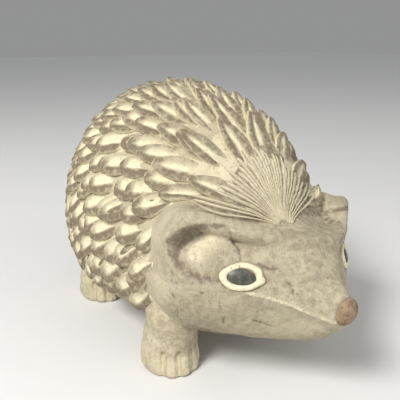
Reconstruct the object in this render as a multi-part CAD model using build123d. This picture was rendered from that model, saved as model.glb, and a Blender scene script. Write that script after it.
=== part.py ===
from build123d import *
from math import cos, degrees, radians, sin, sqrt
import os

# Hedgehog figurine in low-fired clay. Millimetres, +Z up, the snout points to -Y.
# The animal's left side is +X. The feet stand on Z = 0 and the origin lies under the middle.

# Overall
overall_length = 219.4
slip_gap = 0.3
cut_overrun = 20.0

# Body: a hollow dome on a shallow pan, both oval in plan
body_half_width = 58.5
crown_height = 124.0
widest_height = 52.0
seam_height = 28.0
seam_draw_in = 4.0
belly_height = 13.0
hem_bulge = 3.0
body_wall = 7.0
head_lead = 37.8
tail_quill_rise = 7.26
vent_diameter = 25.0
neck_passage_diameter = 28.0
neck_passage_height = 50.0

# Quills: leaf-shaped lobes in rings that spread from a peak on the forehead
ring_count = 16
first_ring_reach = 26.0
quill_overlap = 5.4
quill_thickness = 2.6
quill_root_thickness = 0.7
quill_width = 11.4
quill_gap = 0.8
quill_edge_draft = 24.0
quill_lift = 2.0
quill_seat_gap = 0.05
flank_fall = 13.0
peak_clearance = 0.8
hem_clearance = 1.5
tail_hem_clearance = 8.0
face_clearance = 1.0

# Facet: the hollow scooped out of a lobe, open towards its root
facet_depth = 1.1
facet_root_depth = 0.25
facet_root_overrun = 1.2

# Crest: the lobes along the middle are keeled blades, longer, narrower and prouder
crest_half_width = 30.0
crest_extra_length = 5.0
crest_extra_lift = 2.5
crest_width_loss = 1.6
keel_half_width = 15.0
keel_roof_angle = 22.0

# Share of a lobe's length and of its half width at each corner of its outline
leaf_outline_shares = ((0.00, 0.30), (0.55, 1.00), (0.88, 0.66), (1.00, 0.20))
facet_outline_shares = ((0.00, 0.20), (0.50, 0.66), (0.84, 0.30))
blade_outline_shares = ((0.00, 0.26), (0.42, 1.00), (0.84, 0.52), (1.00, 0.10))

# Combed ridges between the peak and the first ring
comb_ridge_count = 25
comb_inner_reach = 5.0
comb_outer_reach = 24.0
comb_ridge_width = 2.0
comb_root_share = 0.4
comb_ridge_height = 1.4
comb_edge_draft = 10.0
comb_spread_angle = 92.0

# Head: a hollow wedge from the neck to the snout, luted on the front of the body
head_length = 78.0
head_half_width = 51.0
chin_height = 19.0
head_height = 65.0
head_wall = 6.0
head_tilt = 6.0
head_turn = 2.0
pivot_height_share = 0.63

# Shares at each station of the head: of the way to the snout, of the half width,
# of the height at the roof, the mouth ridge and the chin, and how crisp the ridge is
head_station_shares = (
    (0.00, 0.78, 0.88, 0.36, 0.10, 0.00),
    (0.18, 0.91, 0.90, 0.38, 0.03, 0.00),
    (0.33, 1.00, 0.88, 0.42, 0.00, 0.00),
    (0.49, 0.88, 0.85, 0.46, 0.01, 0.04),
    (0.64, 0.69, 0.81, 0.50, 0.05, 0.12),
    (0.79, 0.41, 0.69, 0.46, 0.13, 0.26),
    (0.92, 0.21, 0.60, 0.41, 0.23, 0.22),
    (1.00, 0.115, 0.545, 0.39, 0.345, 0.05),
)
section_round_share = 0.55
quarter_turn_share = 0.5523
hollow_stations = 6

# Brow: a rolled lip that joins the ears above the face
brow_radius = 4.5
brow_end_side = 39.0
brow_end_along_share = 0.436
brow_end_height_share = 0.862
brow_middle_along_share = 0.577
brow_middle_height_share = 0.769

# Ears: flaps luted on the cheeks and scooped from the front
ear_thickness = 18.0
ear_length = 26.0
ear_height = 33.0
ear_side = 43.5
ear_along_share = 0.346
ear_height_share = 0.723
ear_stand_off = 5.4
scoop_length = 34.0
scoop_depth = 14.0
scoop_height = 24.0
scoop_side = 48.5
scoop_along_share = 0.551
scoop_turn = 30.0

# Eyes: a flat almond rim let into a socket, with a domed pupil inside it
eye_along_share = 0.647
eye_height_share = 0.585
eye_rim_length = 17.0
eye_rim_height = 10.4
eye_rim_thickness = 3.2
eye_socket_depth = 2.4
pupil_length = 11.5
pupil_height = 6.6
pupil_rise = 0.9
eye_fit = 0.15

# Nose: a short blunt cone on the end of the snout
nose_length = 3.7
nose_tip_radius = 2.8

# Legs: stub columns that swell to the paws
leg_side = 39.5
front_leg_along_share = -0.6
rear_leg_along_share = 0.355
paw_half_width = 14.0
paw_half_length = 16.5
leg_waist_height = 19.0
leg_waist_half_width = 12.6
leg_waist_half_length = 13.6
leg_root_height = 36.0
leg_root_half_width = 12.0
leg_root_half_length = 14.0
leg_lean = 5.0
sole_round = 2.5
toe_groove_count = 4
toe_groove_width = 2.2
toe_groove_height = 12.0
toe_groove_lean = 16.0
toe_fan_angle = 100.0

# Steps for tracing the dome, as angles
crest_step = 0.5
swing_step = 1.0
half_turn = 180

# Worked out from the sizes above
nose_reach = overall_length / 2
body_half_length = (overall_length - head_lead - tail_quill_rise) / 2
body_station = nose_reach - tail_quill_rise - body_half_length
dome_rise = crown_height - widest_height
dome_radii = (body_half_width, body_half_length, dome_rise)
dome_centre = Vector(0, body_station, widest_height)
snout_station = nose_length - nose_reach
head_back_station = snout_station + head_length
front_leg_station = body_station + front_leg_along_share * body_half_length
rear_leg_station = body_station + rear_leg_along_share * body_half_length


def head_point(side, along_share, height_share):
    """A place in the head before it is tilted, by shares of its length and height."""
    return Vector(side, head_back_station - along_share * head_length, chin_height + height_share * head_height)


# The peak of the quills stands just above the widest part of the head
peak_roof_share = head_station_shares[2][2]
peak_height = head_point(0, 0, peak_roof_share).Z + peak_clearance
peak_lift = (peak_height - widest_height) / dome_rise
peak_axis = Vector(0, -sqrt(1 - peak_lift**2), peak_lift)
crest_axis = Vector(0, peak_lift, -peak_axis.Y)
side_axis = Vector(1, 0, 0)
neck_pivot = Pos(head_point(0, 0, pivot_height_share))
neck_pose = neck_pivot * Rot(0, head_tilt, head_turn) * neck_pivot.inverse()


def body_form(inset):
    """The body as a closed solid, its surface drawn in by an inset."""
    half_width = body_half_width - inset
    seam_half_width = half_width - seam_draw_in
    keel_height = belly_height + inset
    hem = (seam_half_width, seam_height)
    crown = EllipticalCenterArc((0, widest_height), half_width, dome_rise - inset, 0, arc_size=90)
    flank = TangentArc((half_width, widest_height), hem, tangent=(0, -1))
    under_hem = (seam_half_width - hem_bulge, keel_height)
    turn = Bezier(hem, under_hem, (seam_half_width / 2, keel_height), (0, keel_height))
    middle = Line((0, keel_height), (0, crown_height - inset))
    profile = Plane.XZ * make_face([crown, flank, turn, middle])
    stretch = (body_half_length - inset) / half_width
    oval = scale(revolve(profile, Axis.Z), by=(1, stretch, 1))
    return Pos(0, body_station, 0) * oval


def posed(piece):
    """A piece of the head, tilted and turned about the neck."""
    return neck_pose * piece


def head_section(shares, inset):
    """One closed section across the head, pinched at the mouth ridge."""
    along, width, roof, ridge, chin, crisp = shares
    half = head_half_width * width - inset
    top = chin_height + head_height * roof - inset
    middle = chin_height + head_height * ridge
    low = chin_height + head_height * chin + inset
    pinch = half * (1 - crisp)
    lift = middle + section_round_share * (top - middle)
    drop = middle - section_round_share * (middle - low)
    shoulder = half * section_round_share
    edges = [
        Bezier((half, middle), (pinch, lift), (shoulder, top), (0, top)),
        Bezier((0, top), (-shoulder, top), (-pinch, lift), (-half, middle)),
        Bezier((-half, middle), (-pinch, drop), (-shoulder, low), (0, low)),
        Bezier((0, low), (shoulder, low), (pinch, drop), (half, middle)),
    ]
    origin = (0, head_back_station - along * head_length, 0)
    return Plane(origin=origin, x_dir=(1, 0, 0), z_dir=(0, -1, 0)) * make_face(edges)


def head_form(inset, station_count):
    """The head lofted through its first stations."""
    return loft([head_section(shares, inset) for shares in head_station_shares[:station_count]])


def brow_roll(grown):
    """The rolled lip from ear to ear, its radius grown by a gap."""
    path = ThreePointArc(
        head_point(-brow_end_side, brow_end_along_share, brow_end_height_share),
        head_point(0, brow_middle_along_share, brow_middle_height_share),
        head_point(brow_end_side, brow_end_along_share, brow_end_height_share),
    )
    roll = sweep((path ^ 0) * Circle(brow_radius + grown), path=path)
    ends = [Pos(path @ end) * Sphere(brow_radius + grown) for end in (0, 1)]
    return roll + ends


def oval_ball(across, along, height):
    """An oval ball from its three full sizes."""
    return scale(Sphere(height / 2), by=(across / height, along / height, 1))


def ear_flap(side):
    """The lump of clay that an ear is cut from."""
    place = Pos(head_point(side * ear_side, ear_along_share, ear_height_share))
    return place * oval_ball(ear_thickness, ear_length, ear_height)


def ear_scoop(side):
    """The hollow in front of an ear, its length turned in along the cheek."""
    place = Pos(head_point(side * scoop_side, scoop_along_share, ear_height_share))
    return place * Rot(0, 0, side * scoop_turn) * oval_ball(scoop_depth, scoop_length, scoop_height)


def eye_seat(head, side):
    """The plane of an eye where a level line meets the side of the head."""
    line = Axis(head_point(0, eye_along_share, eye_height_share), (side, 0, 0))
    crossings = head.shell().find_intersection_points(line)
    point, normal = max(crossings, key=lambda crossing: side * crossing[0].X)
    along = Vector(-normal.Y, normal.X, 0)
    return Plane(origin=point, x_dir=along, z_dir=normal)


def oval_block(length, height, low, high):
    """An oval prism between two levels along its own axis."""
    return Pos(0, 0, low) * extrude(Ellipse(length / 2, height / 2), high - low)


def low_dome(radius, rise):
    """A round dome from its radius and rise, its profile a quarter of an oval."""
    reach = quarter_turn_share
    quarter = make_face([
        Bezier((0, rise), (reach * radius, rise), (radius, reach * rise), (radius, 0)),
        Line((radius, 0), (0, 0)),
        Line((0, 0), (0, rise)),
    ])
    return revolve(Plane.XZ * quarter, Axis.Z)


def pupil_form():
    """A low oval dome on an oval foot."""
    foot = oval_block(pupil_length - 2 * eye_fit, pupil_height - 2 * eye_fit, -eye_socket_depth, 0)
    stretch = (pupil_length - 2 * eye_fit) / (pupil_height - 2 * eye_fit)
    return foot + scale(low_dome(pupil_height / 2 - eye_fit, pupil_rise), by=(stretch, 1, 1))


def nose_form():
    """A blunt cone that carries the snout on to its tip."""
    along, width, roof, ridge, chin, crisp = head_station_shares[-1]
    base_radius = head_half_width * width
    reach = nose_reach + snout_station
    profile = make_face([
        Line((0, 0), (base_radius, 0)),
        Bezier((base_radius, 0), (base_radius, reach / 2), (nose_tip_radius, reach), (0, reach)),
        Line((0, reach), (0, 0)),
    ])
    height = chin_height + head_height * (roof + chin) / 2
    seat = Plane(origin=(0, snout_station, height), x_dir=(1, 0, 0), z_dir=(0, -1, 0))
    return seat * Pos(0, 0, slip_gap) * revolve(Plane.XZ * profile, Axis.Z)


def leg_form(side, station):
    """A stub leg with a rounded sole and grooves between its toes."""
    levels = (
        (0, 0, paw_half_width, paw_half_length),
        (0, leg_waist_height, leg_waist_half_width, leg_waist_half_length),
        (-side * leg_lean, leg_root_height, leg_root_half_width, leg_root_half_length),
    )
    ovals = [Pos(shift, 0, height) * Ellipse(width, length) for shift, height, width, length in levels]
    column = loft(ovals)
    column = fillet(column.edges().group_by(Axis.Z)[0], sole_round)
    groove = Rot(0, 0, half_turn / 4) * Box(toe_groove_width, toe_groove_width, toe_groove_height)
    groove = Rot(-toe_groove_lean, 0, 0) * Pos(0, 0, toe_groove_height / 2) * groove
    for toe in range(toe_groove_count):
        angle = radians(toe_fan_angle * (toe / (toe_groove_count - 1) - 1 / 2))
        place = Pos(paw_half_width * sin(angle), -paw_half_length * cos(angle), 0)
        column -= place * Rot(0, 0, degrees(angle)) * groove
    return Pos(side * leg_side, station, 0) * column


def dome_point(reach_angle, swing_angle):
    """A point of the dome at an angle from the peak, swung round the peak from the crest."""
    out = crest_axis * cos(swing_angle) + side_axis * sin(swing_angle)
    unit = peak_axis * cos(reach_angle) + out * sin(reach_angle)
    return dome_centre + Vector(*(part * radius for part, radius in zip(unit, dome_radii)))


def dome_place(reach_angle, swing_angle):
    """A plane on the dome with its X axis along the lie of the quills."""
    step = radians(crest_step)
    point = dome_point(reach_angle, swing_angle)
    lie = dome_point(reach_angle + step, swing_angle) - dome_point(reach_angle - step, swing_angle)
    offset = point - dome_centre
    normal = Vector(*(part / radius**2 for part, radius in zip(offset, dome_radii)))
    return Plane(origin=point, x_dir=lie, z_dir=normal)


def trace_crest():
    """The length of the crest line at each step from the peak to the lowest tip behind."""
    lengths = [0.0]
    point = dome_point(0, 0)
    while point.Z > seam_height + tail_hem_clearance:
        following = dome_point(len(lengths) * radians(crest_step), 0)
        lengths.append(lengths[-1] + (following - point).length)
        point = following
    return lengths


crest_lengths = trace_crest()
crest_run = crest_lengths[-1] - first_ring_reach - quill_overlap - crest_extra_length
ring_spacing = crest_run / ring_count
quill_length = ring_spacing + quill_overlap


def angle_at_reach(reach):
    """The angle from the peak at which the crest line is a length long."""
    index = max(place for place, length in enumerate(crest_lengths[:-1]) if length <= reach)
    share = (reach - crest_lengths[index]) / (crest_lengths[index + 1] - crest_lengths[index])
    return (index + share) * radians(crest_step)


def in_head(point, margin):
    """Whether the head, grown by a margin, takes in a point."""
    level = (neck_pose.inverse() * Pos(point)).position
    share = (head_back_station - level.Y) / head_length
    if share < 0 or share > 1:
        return False
    pairs = zip(head_station_shares, head_station_shares[1:])
    pair = next(pair for pair in pairs if share <= pair[1][0])
    mix = (share - pair[0][0]) / (pair[1][0] - pair[0][0])
    blend = [low + mix * (high - low) for low, high in zip(*pair)]
    along, width, roof, ridge, chin, crisp = blend
    rise = level.Z - chin_height - head_height * ridge
    room = head_height * (roof - ridge if rise > 0 else ridge - chin) + margin
    return (level.X / (head_half_width * width + margin))**2 + (rise / room)**2 < 1


def in_front_leg(point, margin):
    """Whether a front leg, grown by a margin, takes in a point."""
    side = abs(point.X) - leg_side + leg_lean * point.Z / leg_root_height
    along = point.Y - front_leg_station
    low = point.Z < leg_root_height + margin
    return low and (side / (paw_half_width + margin))**2 + (along / (paw_half_length + margin))**2 < 1


def is_clear(points, margin):
    """Whether none of some points lies in the head or in a front leg."""
    return not any(in_head(point, margin) or in_front_leg(point, margin) for point in points)


def outline(shares, length, width, start):
    """A closed outline from shares of a length and of a half width, counter-clockwise."""
    right = [(start + along * length, -half * width / 2) for along, half in shares]
    left = [(x, -y) for x, y in reversed(right)]
    return make_face(Polyline(*right, *left, close=True))


def slope(length, root_height, tip_height, side_fall):
    """A plane that rises from the root to the tip and falls off to one side."""
    rise = tip_height - root_height
    return Plane(origin=(0, 0, root_height), x_dir=(length, 0, rise), z_dir=(-rise, length * side_fall, length))


def leaf(length, width):
    """A leaf-shaped wedge with a raised rim round a scooped facet."""
    block = extrude(outline(leaf_outline_shares, length, width, 0), quill_thickness, taper=quill_edge_draft)
    top = slope(length, quill_root_thickness, quill_thickness, 0)
    floor = slope(length, quill_root_thickness - facet_root_depth, quill_thickness - facet_depth, 0)
    room = extrude(outline(facet_outline_shares, length, width, -facet_root_overrun), quill_thickness)
    return split(block, bisect_by=top, keep=Keep.BOTTOM) - split(room, bisect_by=floor, keep=Keep.TOP)


def blade(length, width):
    """A pointed wedge with a sharp keel along its middle."""
    block = extrude(outline(blade_outline_shares, length, width, 0), quill_thickness)
    fall = sin(radians(keel_roof_angle)) / cos(radians(keel_roof_angle))
    for side in (-1, 1):
        roof = slope(length, quill_root_thickness, quill_thickness, side * fall)
        block = split(block, bisect_by=roof, keep=Keep.BOTTOM)
    return block


def ring_swings(angle, offset):
    """The swing angles of the lobes of one ring, evenly spaced along the dome."""
    step = radians(swing_step)
    count = round(half_turn / swing_step)
    lengths = [0.0]
    for index in range(count):
        chord = dome_point(angle, (index + 1) * step) - dome_point(angle, index * step)
        lengths.append(lengths[-1] + chord.length)
    pitch = quill_width + quill_gap
    swings = []
    position = offset * pitch
    while position < lengths[-1]:
        index = max(place for place in range(count) if lengths[place] <= position)
        share = (position - lengths[index]) / (lengths[index + 1] - lengths[index])
        swings.append((index + share) * step)
        position += pitch
    return sorted({side * swing for swing in swings for side in (-1, 1)})


def quill_seat(place):
    """The seat of a lobe, turned down on the flanks, and how near it is to the crest."""
    away = abs(place.origin.X)
    near_crest = max(0, 1 - away / crest_half_width)
    downward = -1 if place.y_dir.Z > 0 else 1
    fall = downward * flank_fall * min(1, away / body_half_width)
    lift = quill_lift + crest_extra_lift * near_crest
    return place * Pos(0, 0, quill_seat_gap) * Rot(0, 0, fall) * Rot(0, -lift, 0), near_crest


def quill_ring(number, head):
    """One ring of lobes down to the hem, with those that meet the head cut back to it."""
    angle = angle_at_reach(first_ring_reach + (number - 1) * ring_spacing)
    lobes = []
    for swing in ring_swings(angle, (number % 2) / 2):
        place = dome_place(angle, swing)
        seat, near_crest = quill_seat(place)
        length = quill_length + crest_extra_length * near_crest
        width = quill_width - crest_width_loss * near_crest
        form = blade if abs(place.origin.X) < keel_half_width else leaf
        quill = seat * form(length, width)
        corners = [vertex.center() for vertex in quill.vertices()]
        if min(corner.Z for corner in corners) < seam_height + hem_clearance:
            continue
        middle = (seat * Pos(length / 2, 0, quill_thickness / 2)).position
        if is_clear(corners, face_clearance):
            lobes.append(quill)
        elif is_clear([middle], face_clearance) and not any(in_front_leg(corner, slip_gap) for corner in corners):
            lobes.append(quill - head)
    return lobes


def comb_ridges():
    """Slender ridges that fan out behind the brow."""
    inner, outer = angle_at_reach(comb_inner_reach), angle_at_reach(comb_outer_reach)
    length = comb_outer_reach - comb_inner_reach
    shares = ((0, comb_root_share), (1, 1))
    ridges = []
    for index in range(comb_ridge_count):
        swing = radians(comb_spread_angle * (2 * index / (comb_ridge_count - 1) - 1))
        ground = outline(shares, length, comb_ridge_width, -length / 2)
        ridge = extrude(ground, comb_ridge_height, taper=comb_edge_draft)
        ridge = dome_place((inner + outer) / 2, swing) * Pos(0, 0, quill_seat_gap) * ridge
        if is_clear([vertex.center() for vertex in ridge.vertices()], slip_gap):
            ridges.append(ridge)
    return ridges


def solids_of(shape):
    """The solids of a shape or of a list of shapes."""
    if isinstance(shape, list):
        return [solid for item in shape for solid in item.solids()]
    return list(shape.solids())


def save(name, shape):
    """Writes one node."""
    solids = solids_of(shape)
    whole = solids[0] if len(solids) == 1 else Compound(children=solids)
    export_step(whole, f"parts/{name}.step")


def build():
    """Builds and writes every node."""
    os.makedirs("parts", exist_ok=True)
    seat = body_form(-slip_gap)
    shell = body_form(0) - body_form(body_wall)
    bore = Rot(half_turn / 2, 0, 0) * Cylinder(neck_passage_diameter / 2, 3 * body_wall)
    passage = Pos(0, body_station - body_half_length, neck_passage_height) * bore
    vent = Pos(0, body_station, belly_height) * Cylinder(vent_diameter / 2, 3 * body_wall)
    seam = Plane(origin=(0, body_station, seam_height))
    save("back_shell", split(shell, bisect_by=seam, keep=Keep.TOP) - passage)
    save("belly_shell", split(shell, bisect_by=seam, keep=Keep.BOTTOM) - vent)

    head = head_form(0, len(head_station_shares))
    eyes = {name: eye_seat(head, side) for name, side in (("left", 1), ("right", -1))}
    head = head + brow_roll(0) - head_form(head_wall, hollow_stations)
    grown_head = head_form(-slip_gap, len(head_station_shares))
    outer_head = posed(grown_head)
    socket_length, socket_height = eye_rim_length + 2 * eye_fit, eye_rim_height + 2 * eye_fit
    socket = oval_block(socket_length, socket_height, -eye_socket_depth, cut_overrun)
    rim = oval_block(eye_rim_length, eye_rim_height, -eye_socket_depth, eye_rim_thickness - eye_socket_depth)
    rim -= oval_block(pupil_length, pupil_height, -cut_overrun, cut_overrun)
    for name, side in (("left", 1), ("right", -1)):
        scoop = ear_scoop(side)
        head -= [scoop, eyes[name] * socket]
        ear = ear_flap(side) - [grown_head, brow_roll(slip_gap), scoop]
        save(f"{name}_ear", posed(ear) - body_form(-ear_stand_off))
        save(f"{name}_eye_rim", posed(eyes[name] * rim))
        save(f"{name}_pupil", posed(eyes[name] * pupil_form()))
    save("head_shell", posed(head) - seat)
    save("nose_tip", posed(nose_form()))

    for name, side in (("left", 1), ("right", -1)):
        save(f"front_{name}_leg", leg_form(side, front_leg_station) - seat - outer_head)
        save(f"rear_{name}_leg", leg_form(side, rear_leg_station) - seat)

    save("forehead_comb", comb_ridges())
    for number in range(1, ring_count + 1):
        save(f"quill_ring_{number:02d}", quill_ring(number, outer_head))


build()
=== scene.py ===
"""Hedgehog figurine in low-fired clay, dressed on its CAD pieces.

Metres in the scene and millimetres in the sizes below. +Z is up, the snout
points to -Y and the animal's left side is +X. The skin is moulded: a ball is
grown to a field that blends the pieces as wet clay is blended. The quills are
one lobe, modelled once, copied and pressed on that skin.
"""

import logging
import math
from dataclasses import dataclass, field, replace
from enum import Enum
from typing import Callable

import bpy
import numpy as np
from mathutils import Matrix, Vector


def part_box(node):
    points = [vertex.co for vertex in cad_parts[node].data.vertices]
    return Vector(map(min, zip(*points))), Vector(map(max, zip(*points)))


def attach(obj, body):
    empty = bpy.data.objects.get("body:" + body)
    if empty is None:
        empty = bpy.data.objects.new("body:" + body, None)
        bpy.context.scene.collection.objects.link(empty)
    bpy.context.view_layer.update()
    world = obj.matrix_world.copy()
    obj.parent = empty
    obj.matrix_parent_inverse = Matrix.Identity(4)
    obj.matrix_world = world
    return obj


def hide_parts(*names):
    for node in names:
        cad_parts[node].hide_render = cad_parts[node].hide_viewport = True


LOG = logging.getLogger("hedgehog")
MM = 0.001
SEED = 7

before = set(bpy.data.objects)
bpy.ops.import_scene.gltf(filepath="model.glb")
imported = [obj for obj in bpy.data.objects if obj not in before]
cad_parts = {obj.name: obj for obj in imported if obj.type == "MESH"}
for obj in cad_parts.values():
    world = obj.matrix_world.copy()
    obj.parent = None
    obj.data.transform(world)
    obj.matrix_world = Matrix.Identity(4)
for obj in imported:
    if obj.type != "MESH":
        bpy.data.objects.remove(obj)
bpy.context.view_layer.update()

Field = Callable[[np.ndarray], np.ndarray]
Colour = tuple[float, float, float]
Place = tuple[float, float, float]
Range = tuple[float, float]

# Small numbers that keep divisors and powers off zero
TINY = 1e-9
HAIR = 1e-6

# The ball that a mould grows from, and how its skin is looked for along each ray
BALL_SEGMENTS = 128
BALL_RINGS = 64
RAY_LOOKS = 90
RAY_HALVINGS = 8

# How often a moulded skin is settled on its field, before it is smoothed and after,
# and the longest step that it then takes
ROUNDS_BEFORE = 4
ROUNDS_AFTER = 2
STRIDE_AFTER = 0.6


class Side(Enum):
    """A side of the animal, by the sign of X."""

    LEFT = 1
    RIGHT = -1

    @property
    def word(self) -> str:
        """The side's name in the names of pieces."""
        return self.name.lower()


# Mesh tools


def deselect() -> None:
    """Leaves nothing selected."""
    bpy.ops.object.select_all(action="DESELECT")


def pick(piece: bpy.types.Object) -> None:
    """Makes a piece the only one selected, and active.

    Args:
        piece: The piece.
    """
    deselect()
    piece.select_set(True)
    bpy.context.view_layer.objects.active = piece


def points_of(piece: bpy.types.Object) -> np.ndarray:
    """Reads a piece's vertices.

    Args:
        piece: The piece.

    Returns:
        Their places in millimetres, one row each.
    """
    flat = np.empty(len(piece.data.vertices) * 3)
    piece.data.vertices.foreach_get("co", flat)
    return flat.reshape(-1, 3) / MM


def place_points(piece: bpy.types.Object, points: np.ndarray) -> None:
    """Moves a piece's vertices.

    Args:
        piece: The piece.
        points: Their new places in millimetres.
    """
    piece.data.vertices.foreach_set("co", (points * MM).ravel())
    piece.data.update()


def paint(piece: bpy.types.Object, name: str, values: np.ndarray) -> None:
    """Stores a value for each vertex, which the finishes read.

    Args:
        piece: The piece.
        name: The attribute's name.
        values: One number for each vertex.
    """
    layer = piece.data.attributes.get(name) or piece.data.attributes.new(name, "FLOAT", "POINT")
    layer.data.foreach_set("value", values.astype(np.float32))


def finish_modifier(piece: bpy.types.Object, kind: str, **settings: object) -> None:
    """Adds a modifier and applies it.

    Args:
        piece: The piece.
        kind: The modifier's type.
        **settings: Its properties.
    """
    pick(piece)
    modifier = piece.modifiers.new(kind.lower(), kind)
    for name, value in settings.items():
        setattr(modifier, name, value)
    bpy.ops.object.modifier_apply(modifier=modifier.name)


def shade_smooth(piece: bpy.types.Object) -> None:
    """Smooths a piece's shading."""
    pick(piece)
    bpy.ops.object.shade_smooth()


# Fields of clay: at each place, about how far it is outside a shape


def soft_step(values: np.ndarray, start: float, end: float) -> np.ndarray:
    """Rises smoothly from 0 to 1 between two values.

    Args:
        values: The values.
        start: Where it leaves 0.
        end: Where it reaches 1.

    Returns:
        The share at each value.
    """
    share = np.clip((values - start) / (end - start), 0, 1)
    return share * share * (3 - 2 * share)


def soft_line(values: np.ndarray, middle: float, width: float) -> np.ndarray:
    """Marks a soft line where values are near a middle.

    Args:
        values: The values.
        middle: The value on the line.
        width: How far from it the line fades.

    Returns:
        The strength at each value, up to 1.
    """
    return np.exp(-(((values - middle) / width) ** 2))


def turned(first: np.ndarray, second: np.ndarray, degrees: float) -> tuple[np.ndarray, np.ndarray]:
    """Turns two measures in their plane.

    Args:
        first: Measures along the one axis.
        second: Measures along the other.
        degrees: How far they turn, from the first axis to the second.

    Returns:
        The turned measures along both axes.
    """
    cosine, sine = math.cos(math.radians(degrees)), math.sin(math.radians(degrees))
    return first * cosine - second * sine, first * sine + second * cosine


def blend(first: np.ndarray, second: np.ndarray, reach: np.ndarray | float) -> np.ndarray:
    """Joins two fields with a fillet.

    Args:
        first: One field's distances.
        second: The other's.
        reach: How wide the fillet is.

    Returns:
        The joined distances.
    """
    share = np.clip(0.5 + 0.5 * (second - first) / reach, 0, 1)
    return second * (1 - share) + first * share - reach * share * (1 - share)


def carve(body: np.ndarray, tool: np.ndarray, reach: float) -> np.ndarray:
    """Cuts one field out of another with a rounded edge.

    Args:
        body: The distances of what is cut.
        tool: The distances of what cuts.
        reach: How wide the rounded edge is.

    Returns:
        The distances of what is left.
    """
    return -blend(-body, tool, reach)


def oval(offset: np.ndarray, radii: Place) -> np.ndarray:
    """The distance to an oval ball.

    Args:
        offset: Places from its centre, along its own axes.
        radii: Its radii.

    Returns:
        About the distance from its skin.
    """
    sizes = np.asarray(radii)
    near = np.linalg.norm(offset / sizes, axis=1)
    slope = np.linalg.norm(offset / sizes**2, axis=1) + TINY
    return near * (near - 1) / slope


def rod(points: np.ndarray, route: np.ndarray, radius: float) -> np.ndarray:
    """The distance to a round rod along a route.

    Args:
        points: Places.
        route: The corners of the route.
        radius: The rod's radius.

    Returns:
        The distance from its skin.
    """
    nearest = np.full(len(points), np.inf)
    for start, end in zip(route, route[1:]):
        run = end - start
        share = np.clip((points - start) @ run / (run @ run), 0, 1)
        nearest = np.minimum(nearest, np.linalg.norm(points - start - share[:, None] * run, axis=1))
    return nearest - radius


def slope_of(shape: Field, points: np.ndarray, step: float = 0.25) -> np.ndarray:
    """The gradient of a field.

    Args:
        shape: The field.
        points: Where it is wanted.
        step: Half the distance that it is measured over.

    Returns:
        The gradient at each place.
    """
    parts = []
    for axis in np.eye(3):
        parts.append((shape(points + step * axis) - shape(points - step * axis)) / (2 * step))
    return np.stack(parts, axis=1)


def settle(shape: Field, points: np.ndarray, rounds: int, stride: float = 3.0,
           least: float = 0.15) -> np.ndarray:
    """Moves places on to the skin of a field.

    Args:
        shape: The field.
        points: Where they start.
        rounds: How many steps they take.
        stride: The longest step.
        least: The least squared slope that is trusted.

    Returns:
        Where they end.
    """
    for _ in range(rounds):
        slope = slope_of(shape, points)
        size = np.maximum((slope**2).sum(axis=1), least)
        step = shape(points) / size
        points = points - np.clip(step, -stride, stride)[:, None] * slope
    return points


def facing(shape: Field, points: np.ndarray) -> np.ndarray:
    """The outward direction of a field.

    Args:
        shape: The field.
        points: Where it is wanted.

    Returns:
        Directions of length one.
    """
    slope = slope_of(shape, points)
    return slope / (np.linalg.norm(slope, axis=1, keepdims=True) + TINY)


def unevenness(points: np.ndarray, size: float, seed: int, waves: int = 9,
               pitches: Range = (0.7, 1.6)) -> np.ndarray:
    """Gentle hand-made unevenness, made of crossed waves.

    Args:
        points: Places.
        size: About how wide a swell is.
        seed: Which pattern.
        waves: How many waves it has.
        pitches: How much narrower and wider than that they are.

    Returns:
        A number of about -1 to 1 at each place.
    """
    chance = np.random.default_rng(seed)
    total = np.zeros(len(points))
    for _ in range(waves):
        axis = chance.normal(size=3)
        axis /= np.linalg.norm(axis)
        pitch = size * chance.uniform(*pitches)
        total += np.sin(points @ axis * 2 * math.pi / pitch + chance.uniform(0, 2 * math.pi))
    return total / math.sqrt(waves)


@dataclass(frozen=True)
class Swell:
    """One layer of unevenness.

    Attributes:
        height: How high it is.
        size: About how wide a swell is.
        seed: Which pattern.
    """

    height: float
    size: float
    seed: int


def relief(points: np.ndarray, swells: tuple[Swell, ...]) -> np.ndarray:
    """Adds up layers of unevenness.

    Args:
        points: Places.
        swells: The layers.

    Returns:
        The height at each place.
    """
    return sum(swell.height * unevenness(points, swell.size, swell.seed) for swell in swells)


def mould(name: str, shape: Field, heart: Place, reach: float, grain: float) -> bpy.types.Object:
    """Grows a ball to the skin of a field and evens out its faces.

    Args:
        name: The piece's name.
        shape: The field.
        heart: A place well inside it.
        reach: How far its farthest part is from there.
        grain: The size of a face.

    Returns:
        The piece.
    """
    deselect()
    bpy.ops.mesh.primitive_uv_sphere_add(segments=BALL_SEGMENTS, ring_count=BALL_RINGS, radius=MM,
                                         location=(0, 0, 0))
    piece = bpy.context.object
    piece.name = name
    ways = points_of(piece)
    ways /= np.linalg.norm(ways, axis=1, keepdims=True)
    middle = np.asarray(heart)
    outer = np.full(len(ways), reach)
    found = np.zeros(len(ways), dtype=bool)
    inner = np.zeros(len(ways))
    for share in np.linspace(1, 0, RAY_LOOKS):
        length = np.full(len(ways), share * reach)
        inside = shape(middle + ways * length[:, None]) < 0
        fresh = inside & ~found
        inner[fresh] = length[fresh]
        found |= inside
        outer = np.where(found, outer, length)
    for _ in range(RAY_HALVINGS):
        length = (inner + outer) / 2
        inside = shape(middle + ways * length[:, None]) < 0
        inner = np.where(inside, length, inner)
        outer = np.where(inside, outer, length)
    place_points(piece, middle + ways * inner[:, None])
    finish_modifier(piece, "REMESH", mode="VOXEL", voxel_size=grain * MM)
    place_points(piece, settle(shape, points_of(piece), ROUNDS_BEFORE))
    finish_modifier(piece, "SMOOTH", factor=0.5, iterations=2)
    place_points(piece, settle(shape, points_of(piece), ROUNDS_AFTER, STRIDE_AFTER))
    shade_smooth(piece)
    return piece


# The clay shapes


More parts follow.
